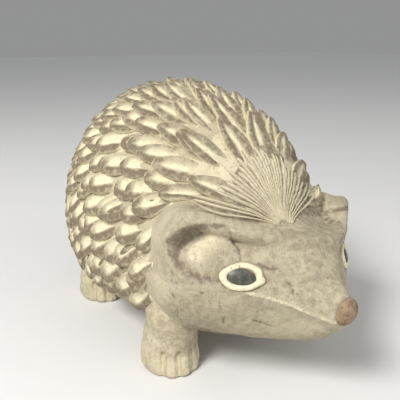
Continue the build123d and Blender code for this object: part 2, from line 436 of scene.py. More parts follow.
@dataclass
class Dome:
    """The oval dome of the back, read from the frame.

    Attributes:
        widest: The height at which it is widest.
        peak_height: The height of the place that the quills spread from.
        belly: The height of the underside.
        fullness: How full the pan below the dome is: 2 is a plain oval.
        trace_step: How finely the crest line is traced, in degrees.
        centre: Its middle.
        radii: Its radii.
        peak: The way to the place that the quills spread from, on a ball.
        crest: The way from there along the crest.
        angles: Angles from the peak along the crest line.
        lengths: How long the crest line is up to each.
    """

    widest: float = 52.0
    peak_height: float = 77.0
    belly: float = 13.0
    fullness: float = 3.2
    trace_step: float = 0.5
    centre: np.ndarray = field(init=False)
    radii: np.ndarray = field(init=False)
    peak: np.ndarray = field(init=False)
    crest: np.ndarray = field(init=False)
    angles: np.ndarray = field(init=False)
    lengths: np.ndarray = field(init=False)

    def __post_init__(self) -> None:
        """Reads the shell's box and traces the crest line."""
        low, high = (np.array(corner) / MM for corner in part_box("back_shell"))
        self.centre = np.array([0.0, (low[1] + high[1]) / 2, self.widest])
        self.radii = np.array([high[0], (high[1] - low[1]) / 2, high[2] - self.widest])
        lift = (self.peak_height - self.widest) / self.radii[2]
        self.peak = np.array([0.0, -math.sqrt(1 - lift**2), lift])
        self.crest = np.array([0.0, lift, math.sqrt(1 - lift**2)])
        self.angles = np.radians(np.arange(0, 180, self.trace_step))
        line = self.point(self.angles, np.zeros_like(self.angles))
        steps = np.linalg.norm(np.diff(line, axis=0), axis=1)
        self.lengths = np.concatenate([[0], np.cumsum(steps)])

    def point(self, reach: np.ndarray, swing: np.ndarray) -> np.ndarray:
        """Finds places on the dome.

        Args:
            reach: Their angles from the peak.
            swing: Their angles round it, from the crest line.

        Returns:
            The places.
        """
        out = np.cos(swing)[:, None] * self.crest + np.sin(swing)[:, None] * np.array([1.0, 0, 0])
        unit = np.cos(reach)[:, None] * self.peak + np.sin(reach)[:, None] * out
        return self.centre + unit * self.radii

    def angle_at(self, length: float) -> float:
        """The angle from the peak at which the crest line is a length long."""
        return float(np.interp(length, self.lengths, self.angles))

    def distance(self, points: np.ndarray) -> np.ndarray:
        """The distance to the dome and to the flatter pan below it.

        Args:
            points: Places.

        Returns:
            The distance from each.
        """
        offset = points - self.centre
        upper = oval(offset, tuple(self.radii))
        depth = self.widest - self.belly
        flat = np.abs(offset / np.array([self.radii[0], self.radii[1], depth])) + HAIR
        plan = np.hypot(flat[:, 0], flat[:, 1])
        lower = ((plan**self.fullness + flat[:, 2] ** self.fullness) ** (1 / self.fullness) - 1) * depth
        return np.where(offset[:, 2] > 0, upper, lower)


@dataclass
class Head:
    """The bare wedge of the head.

    Attributes:
        back: Where its first station stands, at the neck.
        length: How far it runs from there to the snout.
        half_width: Half its greatest width.
        chin: The height of its lowest part.
        height: Its height above that.
        tilt: How far it leans to the animal's left, as an angle.
        turn: How far it looks to one side, as an angle.
        pivot: The place that it leans and turns about.
        overlap: How far it runs on behind, inside the dome.
        smoothness: The degree of the curves through the stations.
        stations: Shares at each station: of the way, the half width, the roof,
            the mouth ridge, the chin, and how crisp the ridge is.
    """

    back: float = -28.0
    length: float = 78.0
    half_width: float = 51.0
    chin: float = 19.0
    height: float = 65.0
    tilt: float = 6.0
    turn: float = 2.0
    pivot: Place = (0.0, -28.0, 60.0)
    overlap: float = 8.0
    smoothness: int = 5
    stations: tuple[tuple[float, ...], ...] = (
        (0.00, 0.78, 0.88, 0.36, 0.10, 0.00),
        (0.18, 0.91, 0.90, 0.38, 0.03, 0.00),
        (0.33, 1.00, 0.88, 0.42, 0.00, 0.00),
        (0.49, 0.88, 0.85, 0.46, 0.01, 0.04),
        (0.64, 0.69, 0.81, 0.50, 0.05, 0.16),
        (0.79, 0.41, 0.69, 0.46, 0.13, 0.34),
        (0.92, 0.21, 0.60, 0.41, 0.23, 0.30),
        (1.00, 0.115, 0.545, 0.39, 0.345, 0.10),
    )

    def upright(self, points: np.ndarray) -> np.ndarray:
        """Turns places back to where the head stands level.

        Args:
            points: Places on the figure.

        Returns:
            The same places seen by the level head.
        """
        offset = points - np.array(self.pivot)
        x, z = turned(offset[:, 0], offset[:, 2], self.tilt)
        x, y = turned(x, offset[:, 1], -self.turn)
        return np.stack([x, y, z], axis=1) + np.array(self.pivot)

    def section(self, points: np.ndarray) -> tuple[np.ndarray, ...]:
        """Reads the wedge's section.

        Args:
            points: Places of the level head.

        Returns:
            At each place the half width, the heights of the roof, the ridge and
            the chin, and how crisp the ridge is.
        """
        table = np.array(self.stations)
        along = np.clip((self.back - points[:, 1]) / self.length, 0, 1)
        parts = []
        for column in range(1, 5):
            curve = np.polynomial.Polynomial.fit(table[:, 0], table[:, column], self.smoothness)
            parts.append(curve(along))
        crisp = np.interp(along, table[:, 0], table[:, 5])
        width, roof, ridge, chin = parts
        return (self.half_width * width, self.chin + self.height * roof, self.chin + self.height * ridge,
                self.chin + self.height * chin, crisp)

    def wedge(self, points: np.ndarray) -> np.ndarray:
        """The distance to the bare wedge.

        Args:
            points: Places of the level head.

        Returns:
            The distance from each.
        """
        width, roof, ridge, chin, crisp = self.section(points)
        rise = points[:, 2] - ridge
        room = np.where(rise > 0, roof - ridge, ridge - chin)
        share = np.clip(np.abs(rise) / room, 0, 1)
        width = width * (1 - 2 * crisp * share * (1 - share))
        across = np.stack([points[:, 0] / width, rise / room], axis=1)
        near = np.linalg.norm(across, axis=1)
        slope = np.hypot(points[:, 0] / width**2, rise / room**2) + HAIR
        round_part = near * (near - 1) / slope
        front = (self.back - self.length) - points[:, 1]
        behind = points[:, 1] - self.back - self.overlap
        return np.maximum.reduce([round_part, front, behind])


@dataclass
class Ear:
    """A flap that stands out from the cheek, pressed in from the front.

    Attributes:
        side: Which ear.
        flap_centre: The middle of the flap.
        flap_radii: Its radii.
        dent_centre: Where the pressed hollow is highest and lowest: along and up.
        dent_radii: How far it reaches back, forward and up.
        dent_edge: Where its edge starts and ends, as distances outside the dent.
        inner_fade: Where it fades towards the middle of the head.
        floor_rise: How far its floor stands off the bare wedge at its back edge.
        floor_fade: How far ahead that sinks away.
        floor_heights: Between which heights the floor comes up to that.
    """

    side: Side
    flap_centre: Place = (43.5, -54.0, 64.0)
    flap_radii: Place = (9.5, 13.5, 14.5)
    dent_centre: tuple[float, float] = (-70.0, 65.0)
    dent_radii: Place = (14.0, 30.0, 11.5)
    dent_edge: Range = (-1.6, 0.2)
    inner_fade: Range = (-36.0, -27.0)
    floor_rise: float = 5.5
    floor_fade: float = 12.0
    floor_heights: Range = (51.0, 62.0)

    def flap(self, points: np.ndarray) -> np.ndarray:
        """The distance to the flap, at places of the level head."""
        centre = np.array(self.flap_centre) * np.array([self.side.value, 1, 1])
        return oval(points - centre, self.flap_radii)

    def rim(self, points: np.ndarray) -> np.ndarray:
        """How far outside the hollow's edge places are.

        Args:
            points: Places of the level head.

        Returns:
            The distance at each, less than nothing inside the edge.
        """
        ahead = self.dent_centre[0] - points[:, 1]
        back, front, rise = self.dent_radii
        aloft = (points[:, 2] - self.dent_centre[1]) / rise
        near = np.hypot(np.where(ahead < 0, ahead / back, ahead / front), aloft)
        inward = soft_step(points[:, 0] * -self.side.value, *self.inner_fade)
        return (near - 1) * rise + rise * inward

    def press(self, shape: np.ndarray, wedge: np.ndarray, points: np.ndarray) -> np.ndarray:
        """Presses the hollow in, down to a floor that runs out on the cheek.

        Args:
            shape: The distance to the head with its ears.
            wedge: The distance to the bare wedge.
            points: The places, on the level head.

        Returns:
            The distance to the head with this hollow.
        """
        inside = 1 - soft_step(self.rim(points), *self.dent_edge)
        back = self.dent_centre[0] + self.dent_radii[0]
        rise = self.floor_rise * np.exp(-np.clip(back - points[:, 1], 0, None) / self.floor_fade)
        floor = wedge - rise * soft_step(points[:, 2], *self.floor_heights)
        return shape * (1 - inside) + floor * inside


@dataclass
class Leg:
    """A stub leg that swells to a paw with grooves between its toes.

    Attributes:
        side: Which side it stands on.
        station: Where it stands along the body.
        front: Whether it is a front leg.
        out: How far from the middle plane its paw stands.
        lean: How far its top leans in.
        lean_start: The height at which that starts.
        paw: Half the paw's width and length.
        waist: The same at the waist.
        waist_height: How high the waist is.
        swell: How soon the leg gets slimmer above the paw.
        root_height: How high it reaches into the body.
        end_round: How wide the rounding of its ends is.
        core_share: How near its axis its distance is set plainly.
        toe_grooves: How many grooves the paw has.
        toe_fan: How far they fan out, in degrees.
        groove_ends: For a groove's foot and top, the share of the paw's radius
            that it lies at, and its height.
        groove_radius: A groove's radius.
        groove_round: How wide the rounding of its edges is.
    """

    side: Side
    station: float
    front: bool
    out: float = 39.5
    lean: float = 5.0
    lean_start: float = 10.0
    paw: tuple[float, float] = (14.0, 16.5)
    waist: tuple[float, float] = (12.6, 13.6)
    waist_height: float = 19.0
    swell: float = 0.8
    root_height: float = 38.0
    end_round: float = 2.6
    core_share: float = 1e-3
    toe_grooves: int = 4
    toe_fan: float = 96.0
    groove_ends: tuple[tuple[float, float], ...] = ((1.02, -2.0), (0.86, 11.5))
    groove_radius: float = 1.3
    groove_round: float = 1.4

    @property
    def name(self) -> str:
        """The name of the leg's CAD node."""
        return f"{'front' if self.front else 'rear'}_{self.side.word}_leg"

    def distance(self, points: np.ndarray) -> np.ndarray:
        """The distance to the leg.

        Args:
            points: Places.

        Returns:
            The distance from each.
        """
        rise = points[:, 2]
        share = np.clip(rise / self.waist_height, 0, 1) ** self.swell
        half_width = self.paw[0] + (self.waist[0] - self.paw[0]) * share
        half_length = self.paw[1] + (self.waist[1] - self.paw[1]) * share
        shift = self.lean * np.clip((rise - self.lean_start) / self.root_height, 0, 1)
        x = points[:, 0] * self.side.value - self.out + shift
        y = points[:, 1] - self.station
        near = np.hypot(x / half_width, y / half_length)
        column = (near - 1) * np.minimum(half_width, half_length)
        column = np.where(near < self.core_share, -half_width, column)
        ends = np.maximum(-rise, rise - self.root_height)
        leg = -blend(-column, -ends, self.end_round)
        local = np.stack([x, y, rise], axis=1)
        for toe in range(self.toe_grooves):
            angle = math.radians(self.toe_fan * (toe / (self.toe_grooves - 1) - 0.5))
            foot = np.array([self.paw[0] * math.sin(angle), -self.paw[1] * math.cos(angle), 0.0])
            groove = np.stack([foot * part + np.array([0, 0, height]) for part, height in self.groove_ends])
            leg = carve(leg, rod(local, groove, self.groove_radius), self.groove_round)
        return leg


@dataclass
class Figure:
    """The whole soft form: dome, head, brow, ears and the skin over them.

    Attributes:
        dome: The back.
        head: The head.
        ears: Both ears.
        brow: The corners of the lip between the ears, on the level head.
        brow_radius: How thick that lip is.
        brow_fillet: How wide the fillet along it is.
        ear_fillet: How wide the fillets at the ears' roots are.
        face_fillet: How wide the fillet from the face to the body is.
        neck_fillet: How much wider it gets over the neck.
        neck_stretch: Along which stretch of the body it does.
        cracks: The corners of each crack.
        crack_width: How far from its line a crack fades.
        crack_wander: How far it wanders off that line.
        crack_swell: How soon it wanders to and fro.
        crack_seeds: Which patterns it wanders by, for each axis.
        shoulder_end: Where the skin of the neck ends below the quills.
        skin: How far the neck's skin stands off the dome.
    """

    dome: Dome
    head: Head
    ears: tuple[Ear, Ear]
    brow: tuple[Place, ...] = (
        (-50.0, -55.0, 69.0), (-48.0, -56.0, 73.5), (-43.0, -58.0, 75.5), (-36.0, -63.0, 74.5),
        (-28.0, -70.0, 73.3), (-18.0, -76.0, 71.0), (-7.0, -80.0, 68.0), (6.0, -81.5, 67.0),
        (17.0, -80.0, 65.5), (27.0, -75.0, 64.5), (35.0, -70.0, 67.5), (43.0, -63.0, 72.0),
        (50.0, -57.0, 74.0))
    brow_radius: float = 4.0
    brow_fillet: float = 3.5
    ear_fillet: float = 8.0
    face_fillet: float = 4.0
    neck_fillet: float = 12.0
    neck_stretch: Range = (-72.0, -50.0)
    cracks: tuple[tuple[Place, ...], ...] = (
        ((-51, -60, 60), (-51, -58, 52), (-48, -60, 46), (-46, -57, 40), (-46, -55, 35)),
        ((-38, -75, 50), (-36, -75, 46), (-37, -74, 41), (-34, -74, 36)),
        ((-27, -84, 39), (-24, -86, 37), (-21, -89, 37)),
        ((-47, -61, 54), (-42, -67, 53), (-40, -72, 51)),
        ((-24, -84, 66), (-21, -87, 63), (-18, -89, 62), (-14, -93, 58)),
        ((-14, -93, 58), (-15, -95, 54), (-13, -99, 52)))
    crack_width: float = 0.7
    crack_wander: float = 0.8
    crack_swell: float = 8.0
    crack_seeds: tuple[int, int, int] = (41, 42, 43)
    shoulder_end: float = -4.0
    skin: float = 0.5

    def skull(self, points: np.ndarray) -> np.ndarray:
        """The distance to the head with its brow and ears.

        Args:
            points: Places.

        Returns:
            The distance from each.
        """
        level = self.head.upright(points)
        wedge = self.head.wedge(level)
        shape = wedge
        for ear in self.ears:
            shape = blend(shape, ear.flap(level), self.ear_fillet)
        for ear in self.ears:
            shape = ear.press(shape, wedge, level)
        return blend(shape, rod(level, np.array(self.brow), self.brow_radius), self.brow_fillet)

    def hide(self, points: np.ndarray) -> np.ndarray:
        """The distance to the skin of the whole figure, legs apart.

        Args:
            points: Places.

        Returns:
            The distance from each.
        """
        shape = self.skull(points)
        body = self.dome.distance(points) - self.skin
        reach = self.face_fillet + self.neck_fillet * soft_step(points[:, 1], *self.neck_stretch)
        return blend(shape, body, reach)

    def neck(self, points: np.ndarray) -> np.ndarray:
        """The distance to the head and shoulders, ended below the quills."""
        return np.maximum(self.hide(points), points[:, 1] - self.shoulder_end)

    def cracked(self, points: np.ndarray) -> np.ndarray:
        """How near places are to a crack.

        Args:
            points: Places.

        Returns:
            A share for each: 1 on a crack and 0 away from them.
        """
        wander = np.stack([unevenness(points, self.crack_swell, seed) for seed in self.crack_seeds], axis=1)
        places = points + wander * self.crack_wander
        routes = [settle(self.hide, np.array(route, dtype=float), rounds=4, stride=6.0)
                  for route in self.cracks]
        near = np.min([rod(places, route, 0.0) for route in routes], axis=0)
        return soft_line(near, 0.0, self.crack_width)


# The finishes


Socket = bpy.types.NodeSocket


class Join(Enum):
    """How two values are joined."""

    SUM = "ADD"
    PRODUCT = "MULTIPLY"


class Recipe:
    """A material's nodes, put together step by step."""

    def __init__(self, name: str) -> None:
        """Starts an empty clay material.

        Args:
            name: The material's name.
        """
        self.material = bpy.data.materials.new(name)
        self.material.use_nodes = True
        self.tree = self.material.node_tree
        self.shader = self.tree.nodes["Principled BSDF"]
        self.place = self.tree.nodes.new("ShaderNodeTexCoord").outputs["Object"]

    def noise(self, size: float, detail: float = 4.0, rough: float = 0.6) -> Socket:
        """Makes cloudy noise.

        Args:
            size: About how wide its clouds are, in millimetres.
            detail: How many finer layers it has.
            rough: How strong they are.

        Returns:
            The noise.
        """
        node = self.tree.nodes.new("ShaderNodeTexNoise")
        node.inputs["Scale"].default_value = 1 / (size * MM)
        node.inputs["Detail"].default_value = detail
        node.inputs["Roughness"].default_value = rough
        self.tree.links.new(self.place, node.inputs["Vector"])
        return node.outputs["Fac"]

    def value(self, name: str) -> Socket:
        """Reads a value painted on the piece.

        Args:
            name: The attribute's name.

        Returns:
            The value.
        """
        node = self.tree.nodes.new("ShaderNodeAttribute")
        node.attribute_name = name
        return node.outputs["Fac"]

    def ramp(self, source: Socket, start: float, end: float, low: float = 0.0, high: float = 1.0) -> Socket:
        """Spreads a stretch of a value over another, and holds it there.

        Args:
            source: The value.
            start: Where the stretch starts.
            end: Where it ends.
            low: What its start becomes.
            high: What its end becomes.

        Returns:
            The spread value.
        """
        node = self.tree.nodes.new("ShaderNodeMapRange")
        node.interpolation_type = "SMOOTHSTEP"
        for name, number in (("From Min", start), ("From Max", end), ("To Min", low), ("To Max", high)):
            node.inputs[name].default_value = number
        self.tree.links.new(source, node.inputs["Value"])
        return node.outputs["Result"]

    def join(self, first: Socket, second: Socket, kind: Join = Join.SUM) -> Socket:
        """Joins two values.

        Args:
            first: The one value.
            second: The other.
            kind: How they are joined.

        Returns:
            The joined value.
        """
        node = self.tree.nodes.new("ShaderNodeMath")
        node.operation = kind.value
        self.tree.links.new(first, node.inputs[0])
        self.tree.links.new(second, node.inputs[1])
        return node.outputs[0]

    def mix(self, share: Socket, first: Socket | Colour, second: Socket | Colour) -> Socket:
        """Mixes two colours.

        Args:
            share: How much of the second is in it.
            first: The one colour.
            second: The other.

        Returns:
            The mixed colour.
        """
        node = self.tree.nodes.new("ShaderNodeMix")
        node.data_type = "RGBA"
        self.tree.links.new(share, node.inputs["Factor"])
        for name, colour in (("A", first), ("B", second)):
            socket = next(item for item in node.inputs if item.name == name and item.type == "RGBA")
            if isinstance(colour, tuple):
                socket.default_value = (*colour, 1.0)
            else:
                self.tree.links.new(colour, socket)
        return next(item for item in node.outputs if item.type == "RGBA")

    def bump(self, height: Socket, depth: float) -> None:
        """Roughens the surface.

        Args:
            height: The height, from 0 to 1.
            depth: How deep that is in millimetres.
        """
        node = self.tree.nodes.new("ShaderNodeBump")
        node.inputs["Strength"].default_value = 1.0
        node.inputs["Distance"].default_value = depth * MM
        self.tree.links.new(height, node.inputs["Height"])
        self.tree.links.new(node.outputs["Normal"], self.shader.inputs["Normal"])

    def colour(self, source: Socket) -> None:
        """Gives the shader its colour."""
        self.tree.links.new(source, self.shader.inputs["Base Color"])


@dataclass(frozen=True)
class ClayFinish:
    """Matte fired clay with a pale wash in its hollows, and dark dust on its ridges that also
    carries painted shade on the quills' lower sides and in the ears' hollows.

    Each noise is a size and a detail. Each ramp is where it starts and ends and,
    where there are two more numbers, what these ends become.

    Attributes:
        name: The finish's name.
        body: The clay's colour.
        stain: The colour of the cloudy stain.
        wash: The colour of the pale wash.
        dust_and_shade: The colour of dust on ridges, of cracks and specks, and of painted shade.
        stained: How much of the clay is stained.
        roughness: How matte it is.
        shine: How strongly it reflects.
        depth: How deep its grain is.
        clouds: The noise of the stain.
        grains: The noise of the grain.
        specks: The noise of the dark specks.
        stain_ramp: From clouds and grains to stain.
        wash_grain: From grains to how unevenly the wash lies.
        wash_ramp: From what is painted to the wash's cover.
        dust_and_shade_grain: From grains to how unevenly the dust and the painted shade lie.
        dust_and_shade_ramp: From what is painted to the cover of dust and painted shade.
        speck_ramp: From the specks' noise to specks.
        speck_clouds: From clouds to how many specks there are.
        pits: From the specks' noise to the depth of small pits.
    """

    name: str
    body: Colour = (0.46, 0.405, 0.28)
    stain: Colour = (0.28, 0.235, 0.155)
    wash: Colour = (0.68, 0.61, 0.42)
    dust_and_shade: Colour = (0.19, 0.15, 0.105)
    stained: float = 0.7
    roughness: float = 0.88
    shine: float = 0.3
    depth: float = 0.35
    clouds: tuple[float, float] = (16.0, 6.0)
    grains: tuple[float, float] = (2.6, 5.0)
    specks: tuple[float, float] = (0.9, 2.0)
    stain_ramp: tuple[float, ...] = (0.80, 1.25)
    wash_grain: tuple[float, ...] = (0.3, 0.7, 0.55, 1.15)
    wash_ramp: tuple[float, ...] = (0.15, 0.85)
    dust_and_shade_grain: tuple[float, ...] = (0.3, 0.7, 0.6, 1.3)
    dust_and_shade_ramp: tuple[float, ...] = (0.1, 1.0)
    speck_ramp: tuple[float, ...] = (0.61, 0.70)
    speck_clouds: tuple[float, ...] = (0.35, 0.65, 0.25, 0.8)
    pits: tuple[float, ...] = (0.55, 0.75, 0.0, -0.4)

    def build(self) -> bpy.types.Material:
        """Makes the material.

        Returns:
            The material.
        """
        recipe = Recipe(self.name)
        clouds = recipe.noise(*self.clouds)
        grains = recipe.noise(*self.grains)
        fine = recipe.noise(*self.specks)
        stain = recipe.ramp(recipe.join(clouds, grains), *self.stain_ramp, 0.0, self.stained)
        colour = recipe.mix(stain, self.body, self.stain)
        wash = recipe.join(recipe.value("wash"), recipe.ramp(grains, *self.wash_grain), Join.PRODUCT)
        colour = recipe.mix(recipe.ramp(wash, *self.wash_ramp), colour, self.wash)
        # The dark cover is real dust and cracks, plus painted shade on the quills' lower sides and in the
        # ears' hollows.
        dust_and_shade = recipe.join(recipe.value("dust_and_shade"), recipe.ramp(grains, *self.dust_and_shade_grain), Join.PRODUCT)
        colour = recipe.mix(recipe.ramp(dust_and_shade, *self.dust_and_shade_ramp), colour, self.dust_and_shade)
        specks = recipe.join(recipe.ramp(fine, *self.speck_ramp), recipe.ramp(clouds, *self.speck_clouds),
                             Join.PRODUCT)
        recipe.colour(recipe.mix(specks, colour, self.dust_and_shade))
        recipe.shader.inputs["Roughness"].default_value = self.roughness
        recipe.shader.inputs["Specular IOR Level"].default_value = self.shine
        recipe.bump(recipe.join(grains, recipe.ramp(fine, *self.pits)), self.depth)
        return recipe.material


@dataclass(frozen=True)
class GlazeFinish:
    """The dark, slightly glossy glaze of the pupils.

    Attributes:
        name: The finish's name.
        body: The glaze's colour.
        dull: Its colour where it is worn.
        roughness: How matte it is.
        wear: How wide the worn spots are.
        wear_ramp: From the noise to them.
        grain: How wide its grain is.
        depth: How deep its grain is.
    """

    name: str = "pupil_glaze"
    body: Colour = (0.045, 0.05, 0.04)
    dull: Colour = (0.11, 0.10, 0.075)
    roughness: float = 0.38
    wear: float = 2.2
    wear_ramp: tuple[float, ...] = (0.42, 0.68)
    grain: float = 1.4
    depth: float = 0.12

    def build(self) -> bpy.types.Material:
        """Makes the material.

        Returns:
            The material.
        """
        recipe = Recipe(self.name)
        recipe.colour(recipe.mix(recipe.ramp(recipe.noise(self.wear), *self.wear_ramp), self.body, self.dull))
        recipe.shader.inputs["Roughness"].default_value = self.roughness
        recipe.bump(recipe.noise(self.grain), self.depth)
        return recipe.material


@dataclass(frozen=True)
class PaperFinish:
    """The plain floor.

    Attributes:
        name: The finish's name.
        colour: The paper's colour.
        roughness: How matte it is.
    """

    name: str = "floor_paper"
    colour: Colour = (0.70, 0.69, 0.67)
    roughness: float = 0.95

    def build(self) -> bpy.types.Material:
        """Makes the material.

        Returns:
            The material.
        """
        recipe = Recipe(self.name)
        recipe.shader.inputs["Base Color"].default_value = (*self.colour, 1.0)
        recipe.shader.inputs["Roughness"].default_value = self.roughness
        return recipe.material


def dress(piece: bpy.types.Object, material: bpy.types.Material) -> None:
    """Gives a piece its only material."""
    piece.data.materials.clear()
    piece.data.materials.append(material)


# The quills


@dataclass
class Lobe:
    """Where one lobe lies and how it is cut.

    Attributes:
        root: Where it starts on the dome.
        lie: The direction that it points in.
        across: The direction across it.
        length: Its length.
        width: Its greatest width.
        shade: How dusty it is.
        stand: How far its tip stands up.
        keen: How far it is cut as a blade, from 0 to 1.
        skew: To which side its hollow is shifted, and how far, from -1 to 1.
    """

    root: np.ndarray
    lie: np.ndarray
    across: np.ndarray
    length: float
    width: float
    shade: float
    stand: float = 0.0
    keen: float = 0.0
    skew: float = 0.0


@dataclass(frozen=True)
class Carving:
    """How the upper face of a quill lobe is carved and tinted.

    Shares run along the lobe from 0 at its root to 1 at its tip, and across it
    from 0 in the middle to 1 at its edges. Of two depths or heights, the second
    is what a blade has more than a leaf.

    Attributes:
        leaf_shares: Along a leaf, and its half width there.
        blade_shares: Along a blade, and its half width there.
        climb: How high the face climbs to the tip.
        climb_curve: How evenly it climbs.
        hollow_depth: How deep the hollow is.
        hollow_shift: How far a skewed lobe's hollow is shifted.
        hollow_half: Where the hollow's floor ends and its sides end, across.
        hollow_end: The same, along.
        edge_bevel: Where the bevel along the edges starts, and how deep it is.
        tip_bevel: The same at the tip.
        sag: How far the upper side of a skewed lobe sags.
        clean_hollow: How much less dust is in the hollow.
        upper_painted_light: How much painted light, as less dust, is on the upper side
            of a lobe on the flank.
        upper_range: Where that upper side starts and ends, across.
        lower_painted_shade: How much painted shade, as more dust, is on its lower side.
        lower_range: Where that lower side starts and ends, across.
        most_dust_and_shade: How dark a lobe gets with dust and painted shade.
        clean_root: Up to where its root has less dust.
        border_edge: Where the washed border along the edges starts.
        border_tip: The same at the tip.
        border_dust: How much less dust is on that border.
        border_wash: How much wash is on it.
        hollow_wash: How much is in the hollow.
        root_wash: How much is at the root.
        washed_root: Up to where.
    """

    leaf_shares: tuple[Range, ...] = ((0, .70), (.2, .90), (.5, 1.0), (.75, .86), (.9, .56), (1.0, .16))
    blade_shares: tuple[Range, ...] = ((0, .55), (.2, .85), (.45, 1.0), (.72, .66), (.9, .26), (1.0, .03))
    climb: tuple[float, float] = (3.4, 0.7)
    climb_curve: float = 0.9
    hollow_depth: tuple[float, float] = (1.7, 0.4)
    hollow_shift: float = 0.24
    hollow_half: Range = (0.10, 0.50)
    hollow_end: Range = (0.66, 0.86)
    edge_bevel: tuple[float, float] = (0.84, 0.7)
    tip_bevel: tuple[float, float] = (0.93, 0.9)
    sag: float = 0.35
    clean_hollow: float = 1.6
    upper_painted_light: float = 0.5
    upper_range: Range = (0.2, 0.9)
    lower_painted_shade: float = 0.25
    lower_range: Range = (0.0, 0.6)
    most_dust_and_shade: float = 1.2
    clean_root: float = 0.2
    border_edge: float = 0.80
    border_tip: float = 0.94
    border_dust: float = 0.8
    border_wash: float = 0.8
    hollow_wash: float = 1.25
    root_wash: float = 0.85
    washed_root: float = 0.15

    def half_width(self, along: np.ndarray, lobe: Lobe) -> np.ndarray:
        """The lobe's half width at shares along it."""
        leaf, blade = (np.interp(along, *np.array(shares).T)
                       for shares in (self.leaf_shares, self.blade_shares))
        return (leaf * (1 - lobe.keen) + blade * lobe.keen) * lobe.width / 2

    def hollow(self, along: np.ndarray, aside: np.ndarray, lobe: Lobe) -> np.ndarray:
        """How far places are in the hollow, from 0 to 1."""
        across = 1 - soft_step(np.abs(aside - self.hollow_shift * lobe.skew), *self.hollow_half)
        return across * (1 - soft_step(along, *self.hollow_end))

    def height(self, along: np.ndarray, aside: np.ndarray, lobe: Lobe) -> np.ndarray:
        """How high the face stands.

        Args:
            along: How far along the lobe each vertex is.
            aside: How far across it, from -1 to 1.
            lobe: The lobe.

        Returns:
            The height at each vertex.
        """
        climb = (self.climb[0] + self.climb[1] * lobe.keen) * along**self.climb_curve
        ramp = climb + lobe.stand * along**2
        edge_start, edge_depth = self.edge_bevel
        tip_start, tip_depth = self.tip_bevel
        edge, tip = soft_step(np.abs(aside), edge_start, 1.0), soft_step(along, tip_start, 1.0)
        bevel = edge * edge_depth + tip * tip_depth
        depth = self.hollow_depth[0] + self.hollow_depth[1] * lobe.keen
        return ramp - depth * self.hollow(along, aside, lobe) - bevel - self.sag * (aside * lobe.skew)

    def tints(self, along: np.ndarray, aside: np.ndarray, lobe: Lobe) -> tuple[np.ndarray, np.ndarray]:
        """Tints the face, with painted light on a flank lobe's upper side and painted shade below.

        Args:
            along: How far along the lobe each vertex is.
            aside: How far across it, from -1 to 1.
            lobe: The lobe.

        Returns:
            The wash, and the dust with the painted light and shade, at each vertex.
        """
        hollow = self.hollow(along, aside, lobe)
        upper = aside * lobe.skew
        edge, tip = soft_step(np.abs(aside), self.border_edge, 1.0), soft_step(along, self.border_tip, 1.0)
        border = np.maximum(edge, tip)
        # Less dust on the upper side of a flank lobe is painted light; more on its lower side is painted
        # shade.
        dust_and_shade = 1.0 - self.clean_hollow * hollow - self.upper_painted_light * soft_step(upper, *self.upper_range)
        dust_and_shade = dust_and_shade + self.lower_painted_shade * soft_step(-upper, *self.lower_range)
        dust_and_shade = np.clip(dust_and_shade, 0, self.most_dust_and_shade) * lobe.shade * soft_step(along, 0.0, self.clean_root)
        root = 1 - soft_step(along, 0.0, self.washed_root)
        wash = self.hollow_wash * hollow + self.root_wash * root + self.border_wash * border
        return np.clip(wash, 0, 1), dust_and_shade * (1 - self.border_dust * border)


